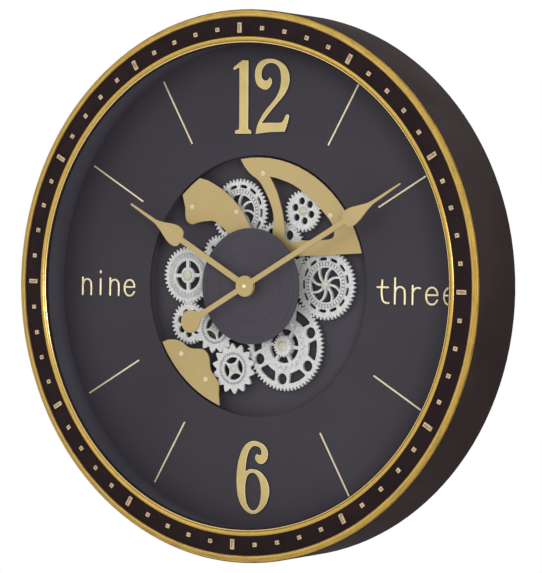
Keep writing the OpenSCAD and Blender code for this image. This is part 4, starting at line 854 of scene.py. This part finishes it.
# %% Outlines of the numerals
one_outline = [
    (-32.8, 238.7), (-32.0, 237.4), (-29.8, 237.4), (-27.4, 238.6), (-24.8, 239.1), (-24.3, 219.1),
    (-23.9, 172.7), (-24.9, 171.8), (-28.0, 171.1), (-29.3, 169.6), (-29.2, 166.8), (-7.4, 166.6),
    (-7.4, 169.4), (-8.2, 170.9), (-10.7, 171.8), (-11.6, 173.0), (-11.7, 193.5), (-12.3, 247.2),
    (-13.1, 247.9), (-20.6, 248.1), (-23.8, 246.1), (-28.2, 243.2), (-32.0, 240.4)]
two_outline = [
    (16.4, 248.8), (25.8, 246.9), (33.8, 242.6), (39.3, 236.2), (41.7, 229.1), (41.5, 221.6), (38.9, 214.1),
    (34.1, 207.3), (27.4, 200.5), (20.7, 194.0), (14.8, 187.8), (10.3, 182.8), (6.6, 178.7), (13.4, 178.9),
    (25.5, 178.8), (31.6, 179.1), (34.2, 181.3), (37.3, 186.5), (39.5, 187.7), (41.9, 186.2), (41.5, 183.0),
    (39.2, 175.2), (36.4, 168.4), (27.2, 168.3), (13.6, 167.9), (6.0, 167.1), (-2.0, 166.2), (-1.4, 170.6),
    (0.5, 176.9), (4.2, 183.8), (10.2, 191.9), (17.6, 199.4), (24.3, 206.8), (28.4, 214.3), (30.1, 221.8),
    (30.1, 229.3), (28.3, 236.9), (24.4, 241.4), (18.4, 243.4), (12.3, 242.7), (7.8, 239.3), (5.6, 234.9),
    (5.4, 229.9), (7.3, 226.0), (10.3, 225.0), (13.4, 225.9), (15.4, 228.3), (17.7, 227.0), (19.0, 224.3),
    (18.4, 220.5), (15.8, 216.9), (12.2, 214.7), (8.8, 214.7), (3.6, 216.7), (-1.0, 220.5), (-3.4, 226.3),
    (-4.0, 232.6), (-2.5, 239.5), (1.6, 245.1), (8.4, 248.1)]
six_outline = [
    (1.2, -169.4), (8.1, -170.3), (14.7, -172.9), (19.1, -177.3), (20.8, -182.2), (20.2, -187.3),
    (17.5, -191.8), (11.6, -194.8), (6.6, -193.2), (3.9, -190.1), (3.5, -187.0), (5.8, -183.2), (8.5, -184.5),
    (11.0, -184.2), (11.7, -181.2), (9.8, -177.4), (5.6, -175.6), (1.4, -175.8), (-2.9, -179.4), (-5.8, -185.7),
    (-7.5, -193.0), (-8.6, -203.2), (-4.3, -201.1), (2.5, -200.6), (9.8, -202.4), (16.4, -207.5),
    (21.1, -214.2), (23.2, -222.9), (21.9, -231.9), (18.0, -240.0), (11.0, -246.9), (2.6, -250.3),
    (-5.0, -248.9), (-12.5, -243.3), (-17.6, -234.5), (-20.1, -223.1), (-20.8, -211.7), (-19.8, -199.5),
    (-17.3, -188.7), (-13.2, -179.3), (-7.1, -172.6)]
six_hole = [
    (0.3, -205.0), (-5.0, -207.8), (-7.8, -214.1), (-8.6, -223.0), (-7.8, -232.5), (-4.9, -241.3),
    (2.3, -245.9), (8.3, -241.4), (11.2, -232.6), (11.5, -222.4), (9.6, -213.0), (5.3, -206.8)]
one_corners = {4, 5, 6, 10, 11, 15, 16, 17, 18, 19}
two_corners = {12, 22, 26, 46}
six_corners = {11, 13, 21}
print("points of the one, the two and the six:", len(one_outline), len(two_outline), len(six_outline))

# %% [markdown]
# Two helpers draw with curves. knots adds a spline that is smooth but at its corners, and mesh_of makes the
# whole curve a mesh, whose place is applied afterwards.

# %% Curve helpers
def knots(curve, points, corners, closed):
    """Adds a bezier spline to a curve, smooth but at its corners."""
    spline = curve.splines.new("BEZIER")
    spline.bezier_points.add(len(points) - 1)
    spline.use_cyclic_u = closed
    for index, point in enumerate(points):
        knot = spline.bezier_points[index]
        knot.co = point
        knot.handle_left_type = knot.handle_right_type = "VECTOR" if index in corners else "AUTO"


def mesh_of(curve):
    """The mesh that a curve draws."""
    drawn = add_object(curve.name, curve)
    bpy.context.view_layer.update()
    mesh = bpy.data.meshes.new_from_object(drawn.evaluated_get(bpy.context.evaluated_depsgraph_get()))
    bpy.data.objects.remove(drawn)
    mesh.materials.clear()
    return mesh


print("helpers: knots, mesh_of")

# %% [markdown]
# A small curve bevel eases the edge of a numeral. The offset draws the outline in by as much, and by a little
# more, because its lit side makes a figure look wider in the picture. The eased edge gets a cream painted
# highlight and the sides a dark painted shade, so the faces are given one of three finishes by the way they look.

# %% Twelve and six
figure_edge = 0.55
figure_draw_in = 0.3
front_facing, edge_facing = 0.95, 0.2


def flat_figure(name, loops, replaced):
    low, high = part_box(replaced)
    thick = (high[1] - low[1]) / mm
    deselect_all()
    curve = bpy.data.curves.new(name, "CURVE")
    curve.dimensions = "2D"
    curve.fill_mode = "BOTH"
    curve.resolution_u = 6
    curve.extrude = thick / 2 - figure_edge
    curve.bevel_depth = figure_edge
    curve.bevel_resolution = 1
    curve.offset = -figure_edge - figure_draw_in
    for outline, corners in loops:
        knots(curve, [(x, z, 0) for x, z in outline], corners, closed=True)
    mesh = mesh_of(curve)
    mesh.transform(Matrix.Translation((middle_x, dial_front - thick / 2 * mm, middle_z))
                   @ Matrix.Rotation(math.pi / 2, 4, "X") @ Matrix.Scale(mm, 4))
    figure = add_object(name, mesh)
    figure.select_set(True)
    bpy.context.view_layer.objects.active = figure
    bpy.ops.object.mode_set(mode="EDIT")
    merge_and_face_out(merge_gap)
    bpy.ops.object.mode_set(mode="OBJECT")
    bpy.ops.object.shade_smooth_by_angle(angle=plate_smooth)
    for material in (figure_gold, edge_highlight_cream, side_shade_bronze):
        mesh.materials.append(material)
    # Front faces get the gold, eased edges the cream painted highlight, sides the dark painted shade.
    for face in mesh.polygons:
        forward = -face.normal.y
        face.material_index = 0 if forward > front_facing else 1 if forward > edge_facing else 2
    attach(figure, "clock_body")
    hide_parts(replaced)
    return figure


figures = [flat_figure("numeral_twelve", [(one_outline, one_corners), (two_outline, two_corners)], "numeral_12"),
           flat_figure("numeral_six", [(six_outline, six_corners), (six_hole, set())], "numeral_6")]
print("numerals:", [(figure.name, len(figure.data.polygons)) for figure in figures])

# %% [markdown]
# ## The sixty marks
# Small blocks mark the minutes and longer ones the hours. Each looks stamped: its edges are soft, and its face
# has a shallow hollow, which gets a brown painted shade. One block is made for each kind: a cube whose front is
# drawn in, bevelled, inset and pushed back. It is then copied round the dial.

# %% Minute and hour marks
mark_tall, mark_edge, mark_border, hollow_depth = 2.0, 0.3, 0.95, 0.4


def mark_block(name, long, wide, drawn_in):
    track_face = -(foot + track_tall) * mm
    place = Vector((middle_x, track_face - mark_tall / 2 * mm, middle_z + mark_circle_r))
    deselect_all()
    bpy.ops.mesh.primitive_cube_add(size=1, location=place, scale=(wide * mm, mark_tall * mm, long * mm))
    block = bpy.context.object
    block.name = name
    bpy.ops.object.transform_apply(location=True, rotation=True, scale=True)
    block.data.materials.append(mark_cream)
    block.data.materials.append(mark_hollow_shade)
    draw_in_front(block, place, drawn_in)
    rounding = block.modifiers.new("soft_edges", "BEVEL")
    rounding.width = mark_edge * mm
    rounding.segments = 2
    bpy.ops.object.modifier_apply(modifier=rounding.name)
    bpy.ops.object.mode_set(mode="EDIT")
    shape = bmesh.from_edit_mesh(block.data)
    front_face = min(shape.faces, key=lambda face: (round(face.normal.y, 3), -face.calc_area()))
    for face in shape.faces:
        face.select = face == front_face
    bmesh.update_edit_mesh(block.data)
    bpy.ops.mesh.inset(thickness=mark_border * mm, depth=0)
    bpy.ops.mesh.extrude_region_move(TRANSFORM_OT_translate={"value": (0, hollow_depth * mm, 0)})
    # The hollow gets the brown painted shade.
    block.active_material_index = 1
    bpy.ops.object.material_slot_assign()
    bpy.ops.object.mode_set(mode="OBJECT")
    return block


def marks_round(name, block, minutes, node):
    marks = copied_round(block, middle, [6 * minute for minute in minutes], name)
    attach(marks, "clock_body")
    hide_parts(node)
    return marks


small_marks = marks_round("small_marks", mark_block("small_mark", 4.5, 4.5, (0.86, 1, 0.86)),
                          [minute for minute in range(60) if minute % 5], "minute_marks")
long_marks = marks_round("long_marks", mark_block("long_mark", 11.0, 4.7, (0.86, 1, 0.92)),
                         range(0, 60, 5), "hour_marks")
print("marks:", len(small_marks.data.polygons), len(long_marks.data.polygons), "faces")

# %% [markdown]
# ## The eight hour lines
# Eight thin raised lines stand where a dial has its other numbers. They run beside the true radius, not on it,
# all set over by the same small amount clockwise. One line is a long cube with a ridge, and the rest are
# copies.

# %% Hour lines
line_start_r, line_end_r = 179.0, 259.5
line_wide, line_aside = 1.7, 2.9
line_taper = (0.45, 1, 0.992)
line_turns = [degrees for degrees in range(0, 360, 30) if degrees % 90]
line_tall = dial_front - front_of("hour_lines")
line_place = Vector((middle_x + line_aside * mm, dial_front - line_tall / 2,
                     middle_z + (line_start_r + line_end_r) / 2 * mm))
deselect_all()
bpy.ops.mesh.primitive_cube_add(size=1, location=line_place,
                                scale=(line_wide * mm, line_tall, (line_end_r - line_start_r) * mm))
first_line = bpy.context.object
bpy.ops.object.transform_apply(location=True, rotation=True, scale=True)
draw_in_front(first_line, line_place, line_taper)
raised_lines = copied_round(first_line, middle, line_turns, "raised_lines")
raised_lines.data.materials.append(line_cream)
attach(raised_lines, "clock_body")
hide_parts("hour_lines")
print("hour lines:", len(line_turns), "height", round(line_tall / mm, 2), "mm")

# %% [markdown]
# ## Axle caps
# Each axle ends in a domed cream cap, larger on the hubs that stand proud. A dome is a ball pressed flat along
# the axle, and cut off by a bisect where it meets its seat. The seats come from the solid caps, which they
# stand in for: the points of the solid near an axle tell where its cap begins and how far it rises.

# %% Domed caps
cap_radii = {"right_wheel": 4.3, "window_wheel": 4.2, "centre_wheel": 4.3, "lower_wheel": 4.3, "left_wheel": 5.6,
             "main_wheel": 5.8, "idler_wheel": 3.3, "inner_star": 3.7, "outer_star": 3.7}
near_axle = 7 * mm
cap_swell = 1.25
dome_smooth = math.radians(40)


def dome(place, cap_r, rise):
    """A dome that stands on this place, with its radius in millimetres and its rise in metres."""
    deselect_all()
    bpy.ops.mesh.primitive_uv_sphere_add(segments=28, ring_count=14, radius=cap_r * mm, location=place,
                                         rotation=(math.pi / 2, 0, 0))
    cap = bpy.context.object
    bpy.ops.object.transform_apply(location=True, rotation=True, scale=True)
    bpy.ops.object.mode_set(mode="EDIT")
    bpy.ops.mesh.select_all(action="SELECT")
    bpy.ops.transform.resize(value=(1, rise / (cap_r * mm), 1), center_override=place)
    bpy.ops.mesh.select_all(action="SELECT")
    bpy.ops.mesh.bisect(plane_co=place, plane_no=(0, 1, 0), use_fill=True, clear_outer=True, clear_inner=False)
    bpy.ops.object.mode_set(mode="OBJECT")
    bpy.ops.object.shade_smooth_by_angle(angle=dome_smooth)
    return cap


def domed_cap(body, cap_r):
    axle = axles[body]
    depths = [vert.co.y for vert in nodes["axle_caps"].data.vertices
              if math.hypot(vert.co.x - axle.x, vert.co.z - axle.z) < near_axle]
    seat = max(depths)
    return dome(Vector((axle.x, seat, axle.z)), cap_r, (seat - min(depths)) * cap_swell)


domed_caps = joined([domed_cap(body, cap_r) for body, cap_r in cap_radii.items()], "domed_caps")
domed_caps.data.materials.append(cap_enamel)
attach(domed_caps, "clock_body")
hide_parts("axle_caps")
print("caps:", len(cap_radii), "faces:", len(domed_caps.data.polygons))

# %% [markdown]
# The hands are held by a small bright pin. It is one more dome, on the front of the minute hand.

# %% Pin of the hands
pin_r = 2.6
pin_low, pin_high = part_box("hand_cap")
pin_rise = pin_high[1] - pin_low[1]
hand_pin = dome(Vector((hand_axle.x, pin_high[1], hand_axle.z)), pin_r, pin_rise)
hand_pin.name = "hand_pin"
hand_pin.data.materials.append(word_cream)
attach(hand_pin, "minute_hand")
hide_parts("hand_cap")
print("hand pin rises", round(pin_rise / mm, 2), "mm")

# %% [markdown]
# ## The number words
# The dial spells three and nine in small letters made of a single rounded stroke, like bent wire. Each letter
# is a list of strokes on a plain grid in millimetres: x runs from its left stem, z from the dial's middle
# height. A word gives each of its letters a place to the left or right of the dial's middle.

# %% Letter shapes
arch = [(0.3, -2.6), (1.8, 1.0), (6.6, 3.2), (11.2, 0.6), (12.0, -3.0)]
letters = {
    "n": [[(0, -14.4), (0, 4.9)], arch + [(12.1, -14.4)]],
    "h": [[(0, -14.8), (0, 12.4)], arch + [(12.2, -14.8)]],
    "i": [[(0, -14.1), (0, 3.7)], [(0, 10.8), (0, 12.6)]],
    "r": [[(0, -14.9), (0, 4.8)], [(0.2, -3.0), (2.0, 0.6), (5.4, 2.6), (9.2, 2.2)]],
    "t": [[(0, 9.8), (0, -8.6), (2.0, -12.8), (5.0, -14.2), (8.2, -14.2)], [(-5.9, 2.4), (7.3, 2.4)]],
    "e": [[(0.7, -4.7), (13.8, -4.7), (13.2, -0.9), (10.6, 2.3), (7.0, 3.3), (3.2, 2.0), (0.5, -2.0), (0.0, -5.6),
           (0.6, -9.6), (3.3, -13.4), (7.0, -14.5), (10.7, -13.5), (13.7, -10.0)]],
}
sharp_points = {"n": (5,), "h": (5,), "e": (0, 1)}
words = {"three": [("t", 162.7), ("h", 178.5), ("r", 200.2), ("e", 216.8), ("e", 238.6)],
         "nine": [("n", -237.5), ("i", -212.0), ("n", -198.3), ("e", -177.9)]}
stroke_r = 1.2
stroke_seat = 0.75 * stroke_r
print("letters:", sorted(letters), "words:", sorted(words))

# %% [markdown]
# A bezier curve with a round bevel turns a stroke into wire. The tube is open at its ends, so a ball closes
# each, and one more rounds the sharp turn of the e. The wire is sunk a little into the dial, so that it doesn't
# float on it.

# %% Words of bent wire
def bent_word(name, spelling):
    curve = bpy.data.curves.new(name, "CURVE")
    curve.dimensions = "3D"
    curve.resolution_u = 5
    curve.bevel_depth = stroke_r
    curve.bevel_resolution = 3
    balls = []
    for letter, left in spelling:
        for stroke in letters[letter]:
            points = [(left + x, 0, z) for x, z in stroke]
            straight = len(points) == 2
            corners = (0, 1) if straight else sharp_points.get(letter, ())
            knots(curve, points, corners, closed=False)
            balls += [points[0], points[-1]]
            balls += [points[index] for index in corners if 0 < index < len(points) - 1]
    mesh = mesh_of(curve)
    shape = bmesh.new()
    shape.from_mesh(mesh)
    for ball in balls:
        bmesh.ops.create_icosphere(shape, subdivisions=2, radius=stroke_r, matrix=Matrix.Translation(ball))
    shape.to_mesh(mesh)
    shape.free()
    mesh.transform(Matrix.Translation((middle_x, dial_front - stroke_seat * mm, middle_z)) @ Matrix.Scale(mm, 4))
    mesh.materials.append(word_cream)
    for face in mesh.polygons:
        face.use_smooth = True
    word = add_object(name, mesh)
    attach(word, "clock_body")
    return word


deselect_all()
number_words = [bent_word("word_" + word, spelling) for word, spelling in words.items()]
print("words:", [(word.name, len(word.data.polygons)) for word in number_words])
